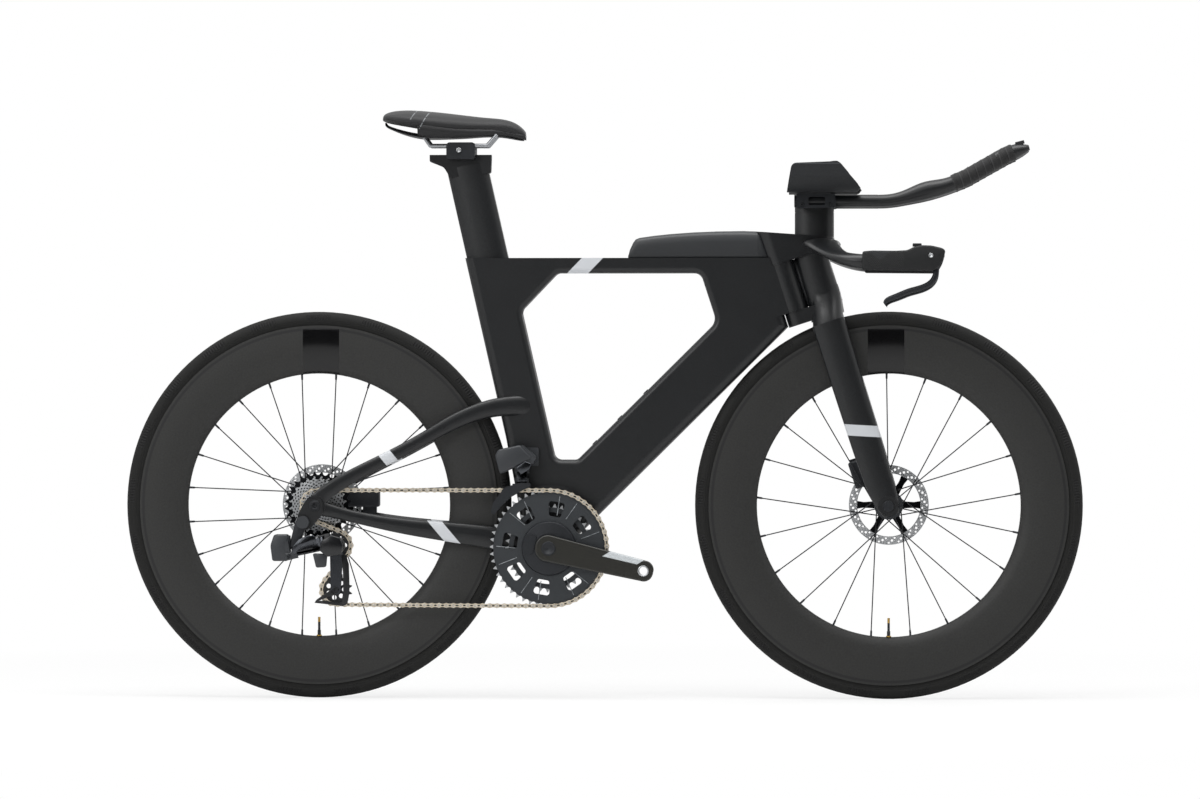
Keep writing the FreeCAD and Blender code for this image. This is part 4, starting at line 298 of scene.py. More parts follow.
# Unidirectional carbon under gloss lacquer: deep brown-black, long fibre streaks and a silver painted flash
arm_way = (math.cos(ARM_FALL), 0, -math.sin(ARM_FALL))
arm_side = (math.sin(ARM_FALL), 0, math.cos(ARM_FALL))
crank_carbon = {}
for arm, turned in (("right", 1), ("left", -1)):
    blade = Finish(f"gloss_carbon_crank_{arm}", "#171713", 0.34, Specular_IOR_Level=0.4,
                   Coat_Weight=0.25, Coat_Roughness=0.2)
    reach = blade.along([turned * v for v in arm_way], CRANK_AXLE)
    rise = blade.along([turned * v for v in arm_side], CRANK_AXLE)
    lengthwise, crosswise = blade.reckon("MULTIPLY", reach, 0.02), blade.reckon("MULTIPLY", rise, 1.4)
    fibre = add(blade.tree, "ShaderNodeCombineXYZ", {0: lengthwise, 1: crosswise}).outputs[0]
    inputs = {"Vector": fibre, "Scale": 1.0, "Detail": 3.0}
    streak = add(blade.tree, "ShaderNodeTexNoise", inputs).outputs["Fac"]
    blade.paint(blade.between(streak, 0.45, 0.9, 0.2), "#201f19")
    slant = blade.reckon("SUBTRACT", reach, rise)
    flash = blade.reckon("MULTIPLY", blade.between(slant, 86, 148, 0.5), blade.between(rise, 8.8, 30.0, 0.4))
    blade.paint(flash, "#c3c8cb")
    crank_carbon[arm] = blade

# Glass-filled nylon, moulded: dull charcoal with a fine sand texture
moulded_nylon = Finish("glass_filled_nylon", "#1c1d1f", 0.55, Specular_IOR_Level=0.4)
moulded_nylon.paint(moulded_nylon.between(moulded_nylon.cloud(0.9, 2.0), 0.55, 0.9, 0.2), "#232426")
moulded_nylon.raise_by(moulded_nylon.cloud(0.6, 2.0), 0.03)

# Painted nylon housing: a shade paler and smoother than bare nylon
battery_nylon = Finish("painted_nylon_housing", "#2b2d30", 0.42, Specular_IOR_Level=0.45)
battery_nylon.paint(battery_nylon.between(battery_nylon.cloud(0.9, 2.0), 0.55, 0.9, 0.2), "#33363a")
battery_nylon.raise_by(battery_nylon.cloud(0.6, 2.0), 0.02)

# Satin nylon of the storage box: charcoal with a soft, uneven sheen
box_nylon = Finish("satin_nylon_storage_box", "#1f2123", 0.42, Specular_IOR_Level=0.5)
box_nylon.paint(box_nylon.between(box_nylon.cloud(1.0, 2.0), 0.55, 0.9, 0.2), "#27292c")
box_nylon.polish(box_nylon.cloud(40.0, 3.0), 0.5)
box_nylon.raise_by(box_nylon.cloud(0.8, 2.0), 0.02)

# Grip rubber: matte black with shallow diamond ribs
grip_rubber = Finish("moulded_grip_rubber", "#131415", 0.6, Specular_IOR_Level=0.35)
lean_a = grip_rubber.wave(grip_rubber.along((0.8, 0, 0.6)), 2.4)
lean_b = grip_rubber.wave(grip_rubber.along((0.8, 0, -0.6)), 2.4)
ribbed = grip_rubber.between(grip_rubber.along((1, 0, 0)), 462, 528, 2.0)
diamonds = grip_rubber.reckon("MAXIMUM", lean_a, lean_b)
grip_rubber.raise_by(grip_rubber.reckon("MULTIPLY", diamonds, ribbed), 0.25)
grip_rubber.paint(grip_rubber.between(grip_rubber.cloud(1.4, 2.0), 0.55, 0.9, 0.2), "#1a1b1c")
wedge_rise = grip_rubber.between(grip_rubber.along((0.62, 0, -0.78), (470, 0, 752)), -40.0, 0.0, 0.4)
wedge_fall = grip_rubber.between(grip_rubber.along((0.62, 0, 0.78), (470, 0, 778)), 0.0, 42.0, 0.4)
grip_rubber.paint(grip_rubber.reckon("MULTIPLY", wedge_rise, wedge_fall), "#202224")

# Cork-filled bar tape: soft matte black with small pits, and at each lap of the winding a painted shade line in
# the step and a painted highlight line beside it
TAPE_TURN = 15.0
bar_tape = Finish("cork_filled_bar_tape", "#1e1e1f", 0.7, Specular_IOR_Level=0.3,
                  Sheen_Weight=0.15, Sheen_Roughness=0.5)
bar_tape.paint(bar_tape.between(bar_tape.cloud(1.1, 3.0), 0.52, 0.85, 0.15), "#242424")
bar_tape.raise_by(bar_tape.cloud(0.9, 3.0), 0.12)
wrap = bar_tape.reckon("FRACT", bar_tape.reckon("MULTIPLY", bar_tape.along((0.94, 0.1, 0.34)), 1 / TAPE_TURN))
# Painted shade in the step of each lap, then a painted highlight beside it
bar_tape.paint(bar_tape.between(wrap, 0.0, 0.07, 0.03), "#050505")
bar_tape.paint(bar_tape.between(wrap, 0.1, 0.2, 0.06), "#39393a")

# Laminated foam pad with a brushed nylon face: dark, rough, a weave of half a millimetre drawn at one to show
WEAVE = 1.0
pad_cloth = Finish("brushed_nylon_foam_pad", "#171718", 0.9, Specular_IOR_Level=0.25,
                   Sheen_Weight=0.35, Sheen_Roughness=0.45)
warp = pad_cloth.wave(pad_cloth.along((1, 0, 0)), 2 * math.pi / WEAVE)
weft = pad_cloth.wave(pad_cloth.along((0, 1, 0.6)), 2 * math.pi / WEAVE)
pad_cloth.raise_by(pad_cloth.reckon("MULTIPLY", warp, weft), 0.12)
pad_cloth.paint(pad_cloth.between(pad_cloth.cloud(12.0, 3.0), 0.5, 0.9, 0.2), "#202022")

# Microfibre saddle cover: matte black, fine pores, and two thin pale dashed lines across the back
saddle_skin = Finish("microfibre_saddle_cover", "#161617", 0.58, Specular_IOR_Level=0.4,
                     Sheen_Weight=0.12, Sheen_Roughness=0.4)
saddle_skin.paint(saddle_skin.between(saddle_skin.cloud(1.6, 2.0), 0.55, 0.9, 0.2), "#1f1f21")
STRIPE_NORMAL = (0.882, 0, -0.47)
DASH_PITCH = 9.0
dash_place = saddle_skin.reckon("FRACT", saddle_skin.reckon("MULTIPLY", saddle_skin.along(UP), 1 / DASH_PITCH))
dashes = saddle_skin.between(dash_place, 0.12, 0.95, 0.05)
for spot, low in (((-304.8, 0, 1022.5), 997), ((-327.9, 0, 1024.3), 1013)):
    stripe = saddle_skin.between(saddle_skin.along(STRIPE_NORMAL, spot), -0.7, 0.7, 0.25)
    reach = saddle_skin.between(saddle_skin.along(UP), low, 1040, 1.0)
    dashed = saddle_skin.reckon("MULTIPLY", dashes, reach)
    saddle_skin.paint(saddle_skin.reckon("MULTIPLY", stripe, dashed), "#7e8184")
saddle_skin.raise_by(saddle_skin.cloud(1.0, 2.0), 0.06)

# Brushed titanium rail: grey metal with fine scratches along the bar
rail_metal = Finish("brushed_titanium_rail", "#9d9fa2", 0.32, Metallic=1.0)
rail_metal.polish(rail_metal.cloud(5.0, 3.0), 0.45)
rail_metal.raise_by(rail_metal.cloud(1.2, 2.0, (0.1, 1, 1)), 0.02)

# Polished stainless fasteners: bright, with slight dull patches
bright_steel = Finish("polished_stainless_fastener", "#b7b9bb", 0.24, Metallic=1.0)
bright_steel.polish(bright_steel.cloud(3.0, 2.0), 0.36)

# Black oxide on steel screws: near black with a dull sheen
black_screw = anodised_black("black_oxide_steel_screw", "#161718", 0.42)

# A thin line of pale grey metal along a milled edge
bright_edge = Finish("pale_grey_edge_metal", "#8d9194", 0.4, Metallic=0.6)
bright_edge.polish(bright_edge.cloud(4.0, 3.0), 0.55)
bright_edge.paint(bright_edge.between(bright_edge.cloud(6.0, 3.0), 0.5, 0.8, 0.1), "#6d7174")

# Gloss black cover over the motor: a hard, mirror-like skin with slight waviness
gloss_cover = Finish("gloss_black_polymer", "#131416", 0.16, Specular_IOR_Level=0.5)
gloss_cover.polish(gloss_cover.cloud(8.0, 3.0), 0.3)
gloss_cover.raise_by(gloss_cover.cloud(5.0, 2.0), 0.05)

# Turned brass: warm yellow metal
brass = Finish("turned_brass", "#b08d45", 0.28, Metallic=1.0)
brass.polish(brass.cloud(3.0, 2.0), 0.4)

# Valve: black anodised, with a fine thread and a brass core at its tip
VALVE_THREAD = 0.8
valve_metal = {}
for wheel, axle in (("rear", REAR_AXLE), ("front", FRONT_AXLE)):
    stem = anodised_black(f"anodised_valve_{wheel}")
    tip = stem.between(stem.along(UP, axle), -206, -190, 0.3)
    stem.paint(tip, "#b08d45")
    stem.raise_by(stem.wave(stem.along(UP), 2 * math.pi / VALVE_THREAD), 0.12)
    valve_metal[wheel] = stem

NODE_FINISH = {
    "main_frame": frame_lacquer, "fork": fork_lacquer, "stem": cockpit_carbon, "base_bar": cockpit_carbon,
    "riser_column": cockpit_carbon, "seatpost": cockpit_carbon, "arm_cups": cup_carbon,
    "right_extension": cockpit_carbon, "left_extension": cockpit_carbon, "storage_box": box_nylon,
    "extension_clamps": black_alloy, "bar_grips": grip_rubber, "arm_pads": pad_cloth,
    "saddle_cover": saddle_skin,
    "bottom_bracket_bearings": bright_steel, "headset_bearings": bright_steel, "seatpost_wedge": black_alloy,
    "derailleur_hanger": cockpit_carbon, "rear_thru_axle": black_alloy, "front_thru_axle": black_alloy,
    "rear_caliper": black_alloy, "front_caliper": black_alloy, "chain": chain_nickel,
    "cassette": sprocket_steel,
    "freehub_body": black_alloy, "chainrings": ring_alloy, "crank_spider": black_alloy,
    "right_crank_arm": crank_carbon["right"], "left_crank_arm": crank_carbon["left"],
    "front_derailleur_body": battery_nylon, "front_derailleur_link": dark_chrome,
    "front_derailleur_cage": black_alloy,
    "rear_derailleur_knuckle": battery_nylon, "rear_derailleur_outer_link": dark_chrome,
    "rear_derailleur_inner_link": dark_chrome, "rear_derailleur_moving_knuckle": moulded_nylon,
    "rear_derailleur_cage": dark_chrome, "guide_pulley": moulded_nylon, "tension_pulley": moulded_nylon,
    "right_brake_lever": black_alloy, "left_brake_lever": black_alloy, "right_bar_button": moulded_nylon,
    "left_bar_button": moulded_nylon, "right_extension_button": moulded_nylon,
    "left_extension_button": moulded_nylon,
    "saddle_clamp": black_alloy, "saddle_rails": rail_metal, "saddle_shell": moulded_nylon,
}
for wheel in ("rear", "front"):
    NODE_FINISH[f"{wheel}_tyre"] = tyre_rubber[wheel]
    NODE_FINISH[f"{wheel}_rim"] = rim_carbon[wheel]
    NODE_FINISH[f"{wheel}_spokes"] = spoke_steel
    NODE_FINISH[f"{wheel}_hub"] = black_alloy
    NODE_FINISH[f"{wheel}_rotor"] = rotor_steel[wheel]
    NODE_FINISH[f"{wheel}_valve"] = valve_metal[wheel]
for node, finish in NODE_FINISH.items():
    mesh = nodes[node].data
    mesh.materials.clear()
    mesh.materials.append(finish.material)


# Making pieces

def piece(name, points, faces, finish, body, flat=False):
    """A mesh from points in millimetres that rides on one body."""
    mesh = bpy.data.meshes.new(name)
    mesh.from_pydata([Vector(p) * 0.001 for p in points], [], faces)
    mesh.validate()
    for face in mesh.polygons:
        face.use_smooth = not flat
    made = bpy.data.objects.new(name, mesh)
    bpy.context.scene.collection.objects.link(made)
    mesh.materials.append(finish.material)
    if not flat:
        bpy.context.view_layer.objects.active = made
        made.select_set(True)
        bpy.ops.object.shade_auto_smooth(angle=math.radians(35))
        made.select_set(False)
    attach(made, body)
    return made


def turned(profile, at, way, steps=28, hexed=()):
    """Points and faces of a turned shape, from (radius, along) pairs; the hexed ones have six flats."""
    way = Vector(way).normalized()
    side = way.orthogonal().normalized()
    across = way.cross(side)
    points, faces = [], []
    for ring, (radius, height) in enumerate(profile):
        for step in range(steps):
            angle = 2 * math.pi * step / steps
            reach = radius
            if ring in hexed:
                reach = radius * math.cos(math.pi / 6) / math.cos((angle % (math.pi / 3)) - math.pi / 6)
            out = side * math.cos(angle) + across * math.sin(angle)
            points.append(Vector(at) + way * height + out * reach)
    for ring in range(len(profile) - 1):
        for step in range(steps):
            a, b = ring * steps + step, ring * steps + (step + 1) % steps
            faces.append((a, b, b + steps, a + steps))
    faces.append(tuple(reversed(range(steps))))
    faces.append(tuple(range((len(profile) - 1) * steps, len(profile) * steps)))
    return points, faces


def tube_end(rings, steps):
    """Faces that join the last ring of a turned shape to its first, so that it is open in the middle."""
    last = (rings - 1) * steps
    return [(last + s, last + (s + 1) % steps, (s + 1) % steps, s) for s in range(steps)]


def socket_bolts(name, spots, way, radius, height, finish, body):
    """Cap screws with a hexagon socket."""
    points, faces = [], []
    profile = [(radius, 0), (radius, height - 0.5), (radius - 0.5, height),
               (radius * 0.56, height), (radius * 0.54, height - 1.6)]
    for spot in spots:
        more, sides = turned(profile, spot, way, 24, (3, 4))
        faces += [tuple(i + len(points) for i in face) for face in sides]
        points += more
    return piece(name, points, faces, finish, body)


def washers(name, spots, way, inner, outer, height, finish, body):
    """Flat rings, open in the middle."""
    points, faces = [], []
    profile = [(inner, 0), (outer, 0), (outer, height - 0.3), (outer - 0.3, height), (inner, height)]
    steps = 40
    for spot in spots:
        more, sides = turned(profile, spot, way, steps)
        sides = sides[:-2] + tube_end(len(profile), steps)
        faces += [tuple(i + len(points) for i in face) for face in sides]
        points += more
    return piece(name, points, faces, finish, body)


def moulding(name, outline, y0, y1, rounding, finish, body):
    """A moulded or forged shape: an outline in X and Z, from y0 to y1, with rounded edges."""
    shape = bmesh.new()
    face = shape.faces.new([shape.verts.new((x, y0, z)) for x, z in outline])
    grown = bmesh.ops.extrude_face_region(shape, geom=[face])
    lifted = [v for v in grown["geom"] if isinstance(v, bmesh.types.BMVert)]
    bmesh.ops.translate(shape, vec=(0, y1 - y0, 0), verts=lifted)
    bmesh.ops.recalc_face_normals(shape, faces=shape.faces[:])
    bmesh.ops.bevel(shape, geom=shape.edges[:], offset=rounding, segments=3, profile=0.5,
                    affect="EDGES", clamp_overlap=True)
    shape.verts.index_update()
    points = [v.co.copy() for v in shape.verts]
    faces = [[v.index for v in f.verts] for f in shape.faces]
    shape.free()
    return piece(name, points, faces, finish, body)


# Wheels: nipples, rotor lockrings and valve collars

FRONT_GROUPS, REAR_GROUPS = 7, 8
CROSS = 66
ROTOR_FACE = {"rear": 57.65, "front": 36.65}


def spoke_ends():
    """Rim angle, flange side y, flange radius, lead angle and rim y of every spoke, wheel by wheel."""
    rows = {"front": [], "rear": []}
    for group in range(FRONT_GROUPS):
        start = 5.2 + 360 / FRONT_GROUPS * group
        step = 120 / FRONT_GROUPS
        rows["front"] += [(start, 18.2, 22.0, -CROSS, 1), (start + step, 21.8, 22.0, CROSS, 1),
                          (start + 2 * step, -33.0, 17.0, 0, -1)]
    for group in range(REAR_GROUPS):
        start = 7.5 + 360 / REAR_GROUPS * group
        step = 120 / REAR_GROUPS
        turn = 1 if group % 2 == 0 else -1
        rows["rear"] += [(start, -15.3, 22.5, CROSS, -1),
                         (start + step, 33 + 1.8 * turn, 19.5, CROSS * turn, 1),
                         (start + 2 * step, -11.7, 22.5, -CROSS, -1)]
    return rows


for wheel, rows in spoke_ends().items():
    axle = REAR_AXLE if wheel == "rear" else FRONT_AXLE
    points, faces = [], []
    for angle, flange_y, flange_radius, lead, rim_y in rows:
        at_rim, at_hub = math.radians(angle), math.radians(angle + lead)
        start = axle + Vector((math.cos(at_rim) * (RIM_NOSE + 1), rim_y, math.sin(at_rim) * (RIM_NOSE + 1)))
        end = axle + Vector((math.cos(at_hub) * flange_radius, flange_y, math.sin(at_hub) * flange_radius))
        profile = [(2.3, -1.0), (2.3, 1.2), (1.9, 1.6), (1.8, 9.0), (1.3, 10.4), (1.05, 10.6)]
        more, sides = turned(profile, start, end - start, 12)
        faces += [tuple(i + len(points) for i in face) for face in sides]
        points += more
    piece(f"{wheel}_spoke_nipples", points, faces, black_alloy, f"{wheel}_wheel")
    lockring = [(16.2, 0), (20.5, 0), (20.5, 2.2), (19.8, 2.8), (16.4, 2.8), (16.2, 2.4)]
    points, faces = turned(lockring, axle + LEFT * ROTOR_FACE[wheel], LEFT, 64)
    faces = faces[:-2] + tube_end(len(lockring), 64)
    piece(f"{wheel}_rotor_lockring", points, faces, black_alloy, f"{wheel}_wheel")
    collar = [(3.05, 0), (4.6, 0), (4.6, 1.6), (4.2, 2.0), (3.05, 2.0)]
    points, faces = turned(collar, axle - UP * (RIM_NOSE + 0.2), UP, 24)
    faces = faces[:-2] + tube_end(len(collar), 24)
    piece(f"{wheel}_valve_collar", points, faces, brass, f"{wheel}_wheel")

# Cranks: axle caps and pedal inserts

right_cap = [(12.5, 0), (12.5, 1.0), (11.6, 1.8), (9.0, 1.8), (8.6, 0.9), (5.0, 0.9), (4.6, 0.2)]
left_cap = [(11.5, 0), (11.5, 1.0), (10.6, 1.6), (5.5, 1.6), (5.2, 0.6)]
for name, cap, way in (("crank_axle_cap", right_cap, RIGHT), ("left_crank_pinch_cap", left_cap, LEFT)):
    points, faces = turned(cap, CRANK_AXLE + way * ARM_FACE, way, 48)
    piece(name, points, faces, black_alloy, "crankset")
for side, way, reach in (("right", RIGHT, CRANK_LENGTH), ("left", LEFT, -CRANK_LENGTH)):
    eye = CRANK_AXLE + Vector(arm_way) * reach + way * ARM_FACE
    washers(f"{side}_pedal_insert", [eye], way, 7.16, 9.6, 0.6, bright_steel, "crankset")

# Ring arms: six pairs of fine raised ribs cross the outer ring beside its arms

RIB_OFFSET, RIB_HALF, RIB_FOOT, RIB_TIP = 12.0, 0.7, 58.0, 91.0
for arm in range(6):
    angle = math.radians(60 * arm + 8)
    out = Vector((math.cos(angle), 0, math.sin(angle)))
    across = Vector((-out.z, 0, out.x))
    for hand in (-1, 1):
        foot = CRANK_AXLE + out * RIB_FOOT + across * (hand * RIB_OFFSET * 0.7)
        tip = CRANK_AXLE + out * RIB_TIP + across * (hand * RIB_OFFSET * 1.35)
        aside = across * RIB_HALF
        outline = [(corner.x, corner.z) for corner in (foot - aside, tip - aside, tip + aside, foot + aside)]
        moulding(f"ring_rib_{arm}_{'a' if hand < 0 else 'b'}", outline, CHAIN_LINE - 3.0, CHAIN_LINE - 1.8, 0.3,
                 bright_edge, "crankset")

# Chain: rivet heads at both ends of every link, and a dark sheet of painted shade in the slot between them

PITCH = 12.7
SLOT_STEPS, SLOT_LONG, SLOT_TALL = 12, 2.9, 1.25
RIVET = [(1.9, -0.1), (1.9, 0.15), (1.5, 0.3), (0.9, 0.12)]


def link_places():
    """Middle, direction and right-hand face of every link, read from the chain's own mesh."""
    mesh = nodes["chain"].data
    owner = list(range(len(mesh.vertices)))

    def root(i):
        while owner[i] != i:
            owner[i] = owner[owner[i]]
            i = owner[i]
        return i

    for edge in mesh.edges:
        a, b = root(edge.vertices[0]), root(edge.vertices[1])
        owner[a] = b
    groups = {}
    for vertex in mesh.vertices:
        groups.setdefault(root(vertex.index), []).append(vertex.co * 1000)
    links = []
    for spots in groups.values():
        low = Vector([min(s[k] for s in spots) for k in range(3)])
        high = Vector([max(s[k] for s in spots) for k in range(3)])
        middle = Vector(((low.x + high.x) / 2, 0, (low.z + high.z) / 2))
        if max(high.x - low.x, high.z - low.z) < PITCH:
            continue
        same = [link for link in links if (link[0] - middle).length < 3]
        if same:
            same[0][1] = min(same[0][1], low.y)
        else:
            links.append([middle, low.y])
    for middle, face_y in links:
        near = sorted(links, key=lambda other: (other[0] - middle).length_squared)[1:3]
        yield middle, (near[0][0] - near[1][0]).normalized(), face_y


rivet_points, rivet_faces, slot_points, slot_faces = [], [], [], []
for middle, ahead, face_y in link_places():
    spot = Vector((middle.x, face_y, middle.z))
    for end in (-PITCH / 2, PITCH / 2):
        more, sides = turned(RIVET, spot + ahead * end, RIGHT, 10)
        rivet_faces += [tuple(i + len(rivet_points) for i in face) for face in sides]
        rivet_points += more
    across = Vector((-ahead.z, 0, ahead.x))
    first = len(slot_points)
    for depth in (-0.1, 0.12):
        for step in range(SLOT_STEPS):
            angle = 2 * math.pi * step / SLOT_STEPS
            edge = ahead * (SLOT_LONG * math.cos(angle)) + across * (SLOT_TALL * math.sin(angle))
            slot_points.append(spot + edge + RIGHT * depth)
    top = first + SLOT_STEPS
    for step in range(SLOT_STEPS):
        after = (step + 1) % SLOT_STEPS
        slot_faces.append((first + step, first + after, top + after, top + step))
    slot_faces.append(tuple(range(top, top + SLOT_STEPS)))
piece("chain_rivets", rivet_points, rivet_faces, bright_steel, "frame")
# Painted shade: a thin near-black sheet in each link's slot stands in for the shade inside it
piece("chain_slot_shade", slot_points, slot_faces, black_screw, "frame")

# Rear derailleur: battery, upper arm, bowed link plate, motor cover and the outer cage

battery = [(-577, 270), (-570.5, 289), (-546, 289), (-546, 242.5), (-573.5, 242.5)]
latch = [(-547, 287), (-543, 287), (-542, 247), (-547, 246)]
upper_arm = [(-533, 313), (-523, 321), (-511, 312), (-516, 300), (-529, 264), (-546, 264)]
moulding("rear_battery", battery, -94, -67, 3.5, battery_nylon, "frame")
moulding("rear_battery_latch", latch, -91, -72, 1.2, black_alloy, "frame")
moulding("rear_upper_arm", upper_arm, -88.5, -76, 3.0, black_alloy, "frame")
socket_bolts("hanger_bolt", [(-520, -90, 310)], RIGHT, 6.2, 1.6, black_screw, "frame")
bow = [(-539, 259), (-536, 270), (-526, 281), (-512, 287), (-501, 288), (-496.5, 284), (-496.5, 276),
       (-505, 275), (-519, 271), (-528, 263), (-533, 255)]
moulding("bowed_link_plate", bow, -99.6, -96.9, 1.1, dark_chrome, "rear_derailleur_outer_link")
cover = [(-491, 262), (-486, 280), (-471, 289), (-454, 284), (-448, 269), (-453, 254), (-478, 250)]
moulding("motor_cover", cover, -98, -91, 2.6, gloss_cover, "rear_derailleur_moving_knuckle")
moulding("motor_foot", [(-503, 256), (-478, 255), (-480, 232), (-497, 231)], -93, -75, 3.0,
         battery_nylon, "rear_derailleur_moving_knuckle")
CAGE_INNER = -54.6
limb = [(-456, 252), (-447, 252), (-442.5, 236), (-441.5, 205), (-441.5, 186), (-445, 167), (-452, 163),
        (-456, 167), (-452.5, 188), (-453, 222)]
foot = [(-503, 168.5), (-453, 162.8), (-449, 168.5), (-478, 171.2), (-500, 173)]
arm = [(-503, 169), (-499, 174.5), (-466, 197), (-458, 192), (-462, 185.5)]
cage_plates = [("limb", limb, -57.6, 0.9), ("foot", foot, -57.2, 0.8), ("arm", arm, -57.0, 0.8)]
for name, outline, outer, rounding in cage_plates:
    moulding(f"outer_cage_{name}", outline, outer, CAGE_INNER, rounding,
             cockpit_carbon, "rear_derailleur_cage")
socket_bolts("tension_pulley_bolt", [(-465.7, -57.4, 191.7)], RIGHT, 5.2, 1.4,
             black_screw, "rear_derailleur_cage")
socket_bolts("rear_axle_end", [(-500, -86.5, 339)], RIGHT, 8.2, 0.9, black_screw, "frame")

# Front derailleur: battery with sloping faces and the cover over its link

battery = [(-187, 426), (-181, 437), (-143, 445), (-121, 422), (-155, 404), (-178, 393.5)]
link_cover = [(-150, 405), (-134, 417), (-122, 412), (-126, 402), (-141, 393)]
moulding("front_battery", battery, -57.5, -36, 4.0, battery_nylon, "frame")
moulding("front_link_cover", link_cover, -58.6, -55, 1.6, dark_chrome, "frame")

# Head: a rubber lip on the back of the fork blade closes the slit to the head tube

STEER_POINT = Vector((452.447, 0, 323.549))
STEER_UP = Vector((-0.309017, 0, 0.951057))
STEER_AHEAD = Vector((0.951057, 0, 0.309017))


def head_lip(name, low, high, inner, outer, spread):
    points, faces = [], []
    steps = 8
    for height in (low, high):
        for radius in (inner, outer):
            for step in range(steps + 1):
                angle = math.radians(spread) * (2 * step / steps - 1)
                out = STEER_AHEAD * math.cos(angle) + LEFT * math.sin(angle)
                points.append(STEER_POINT + STEER_UP * height + out * radius)
    row = steps + 1
    for step in range(steps):
        for a, b in ((0, row), (row, 3 * row), (3 * row, 2 * row), (2 * row, 0)):
            faces.append((a + step, a + step + 1, b + step + 1, b + step))
    faces += [(0, row, 3 * row, 2 * row), (steps, 2 * row + steps, 3 * row + steps, row + steps)]
    return piece(name, points, faces, moulded_nylon, "fork")


head_lip("head_seal_lip", 374.5, 460.5, 23.75, 29.0, 15)

# Cockpit and top tube: wound tape, grip covers, the box, lever pins and clamp bolts

EXTENSION_LINE = [(600, 896.2), (634, 910), (672, 931.5), (706, 950.5), (720, 956)]


def on_extension(reach):
    """Point and direction on the extension's middle line, by share of its taped length."""
    lengths = [math.dist(a, b) for a, b in zip(EXTENSION_LINE, EXTENSION_LINE[1:])]
    left_over = reach * sum(lengths)
    for (a, b), length in zip(zip(EXTENSION_LINE, EXTENSION_LINE[1:]), lengths):
        if left_over <= length or (a, b) == (EXTENSION_LINE[-2], EXTENSION_LINE[-1]):
            way = Vector((b[0] - a[0], 0, b[1] - a[1])).normalized()
            return Vector((a[0], 0, a[1])) + way * left_over, way
        left_over -= length


def wound_tape(name, y, body):
    """Tape laid in overlapping turns: each turn is proud at its leading edge."""
    rings, around, length, thick = 170, 40, 134.0, 14.5
    points, faces = [], []
    for ring in range(rings):
        share = ring / (rings - 1)
        spot, way = on_extension(0.1 + 0.88 * share)
        lift = Vector((-way.z, 0, way.x))
        for step in range(around):
            angle = 2 * math.pi * step / around
            lap = (share * length / TAPE_TURN + step / around) % 1.0
            radius = thick + 0.75 * (lap ** 3) - 0.35 * math.exp(-(lap / 0.05) ** 2)
            if ring in (0, rings - 1):
                radius = 13.6
            points.append(spot + LEFT * (y + math.cos(angle) * radius) + lift * (math.sin(angle) * radius))
    for ring in range(rings - 1):
        for step in range(around):
            a, b = ring * around + step, ring * around + (step + 1) % around
            faces.append((a, b, b + around, a + around))
    return piece(name, points, faces, bar_tape, body)


GRIP_OUTLINE = [(456, 748), (456, 780), (472, 781.5), (512, 781), (533, 782), (545, 788), (558, 790.6),
                (575, 790), (594, 785.5), (599, 781), (594, 764), (588, 753), (578, 747)]
for side, y in (("right", -LEVER_SPREAD), ("left", LEVER_SPREAD)):
    grip = moulding(f"{side}_grip_cover", GRIP_OUTLINE, y - GRIP_HALF, y + GRIP_HALF, 7.0,
                    grip_rubber, "fork")
    if side == "right":
        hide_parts("bar_grips")

BOX_FOOT = 772.0
BOX_TOP = [(44.5, 776), (47.5, 787), (53, 799), (57.5, 804.6), (64, 807.2), (90, 810.9), (120, 814),
           (160, 816.8), (200, 818.4), (245, 819.0), (270, 818.2), (290, 816.5)]
BOX_HALF = [(17.4, 0.0), (18.0, 0.08), (18.0, 0.6), (16.4, 0.84), (13.0, 0.96), (6.0, 1.0)]


def storage_shell():
    """The top-tube box: upright lower walls, a crease, and upper walls that lean in to a rounded lid."""
    points, faces = [], []
    for x, top in BOX_TOP:
        tall = top - BOX_FOOT
        around = [(-y, share) for y, share in BOX_HALF] + list(reversed(BOX_HALF))
        for y, share in around:
            z = BOX_FOOT + share * tall
            points.append((min(x, 289 - (z - BOX_FOOT) * 0.36), y, z))
    count = 2 * len(BOX_HALF)
    for row in range(len(BOX_TOP) - 1):
        for k in range(count):
            a, b = row * count + k, row * count + (k + 1) % count
            faces.append((a, b, b + count, a + count))
    faces += [tuple(reversed(range(count))), tuple((len(BOX_TOP) - 1) * count + k for k in range(count))]
    made = piece("storage_box_shell", points, faces, box_nylon, "frame")
    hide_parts("storage_box")


storage_shell()
wound_tape("right_extension_tape", -50, "right_extension")
wound_tape("left_extension_tape", 50, "left_extension")
lever_pin = [(4.2, -1.5), (4.2, 0.6), (3.7, 1.0), (2.0, 1.0), (1.9, 0.3)]
for side, y in (("right", -LEVER_SPREAD), ("left", LEVER_SPREAD)):
    for way in (LEFT, RIGHT):
        name = f"{side}_lever_pin_{'inner' if way.y * y < 0 else 'outer'}"
        points, faces = turned(lever_pin, Vector((574, y, 773)) + way * GRIP_HALF, way, 24)
        piece(name, points, faces, bright_steel, "fork")
for name, way, y in (("clamp_bolts", RIGHT, -66), ("clamp_bolts_left", LEFT, 66)):
    spots = [(350, y, 864), (398, y, 864)]
    socket_bolts(name, spots, way, 3.4, 2.2, black_screw, "fork")

# Seat: clamp bolt heads

for name, way, y in (("saddle_clamp_bolt", RIGHT, -31), ("saddle_clamp_bolt_left", LEFT, 31)):
    socket_bolts(name, [(-251.7, y, 961)], way, 4.6, 1.8, bright_steel, "saddle")


# Soft pieces: each starts from its own solid's surface, a little smaller, and is blown up as cloth

SEAT_GROUP = "seat"
PRESSURE = 4.0
CLOTH_STEPS = 20


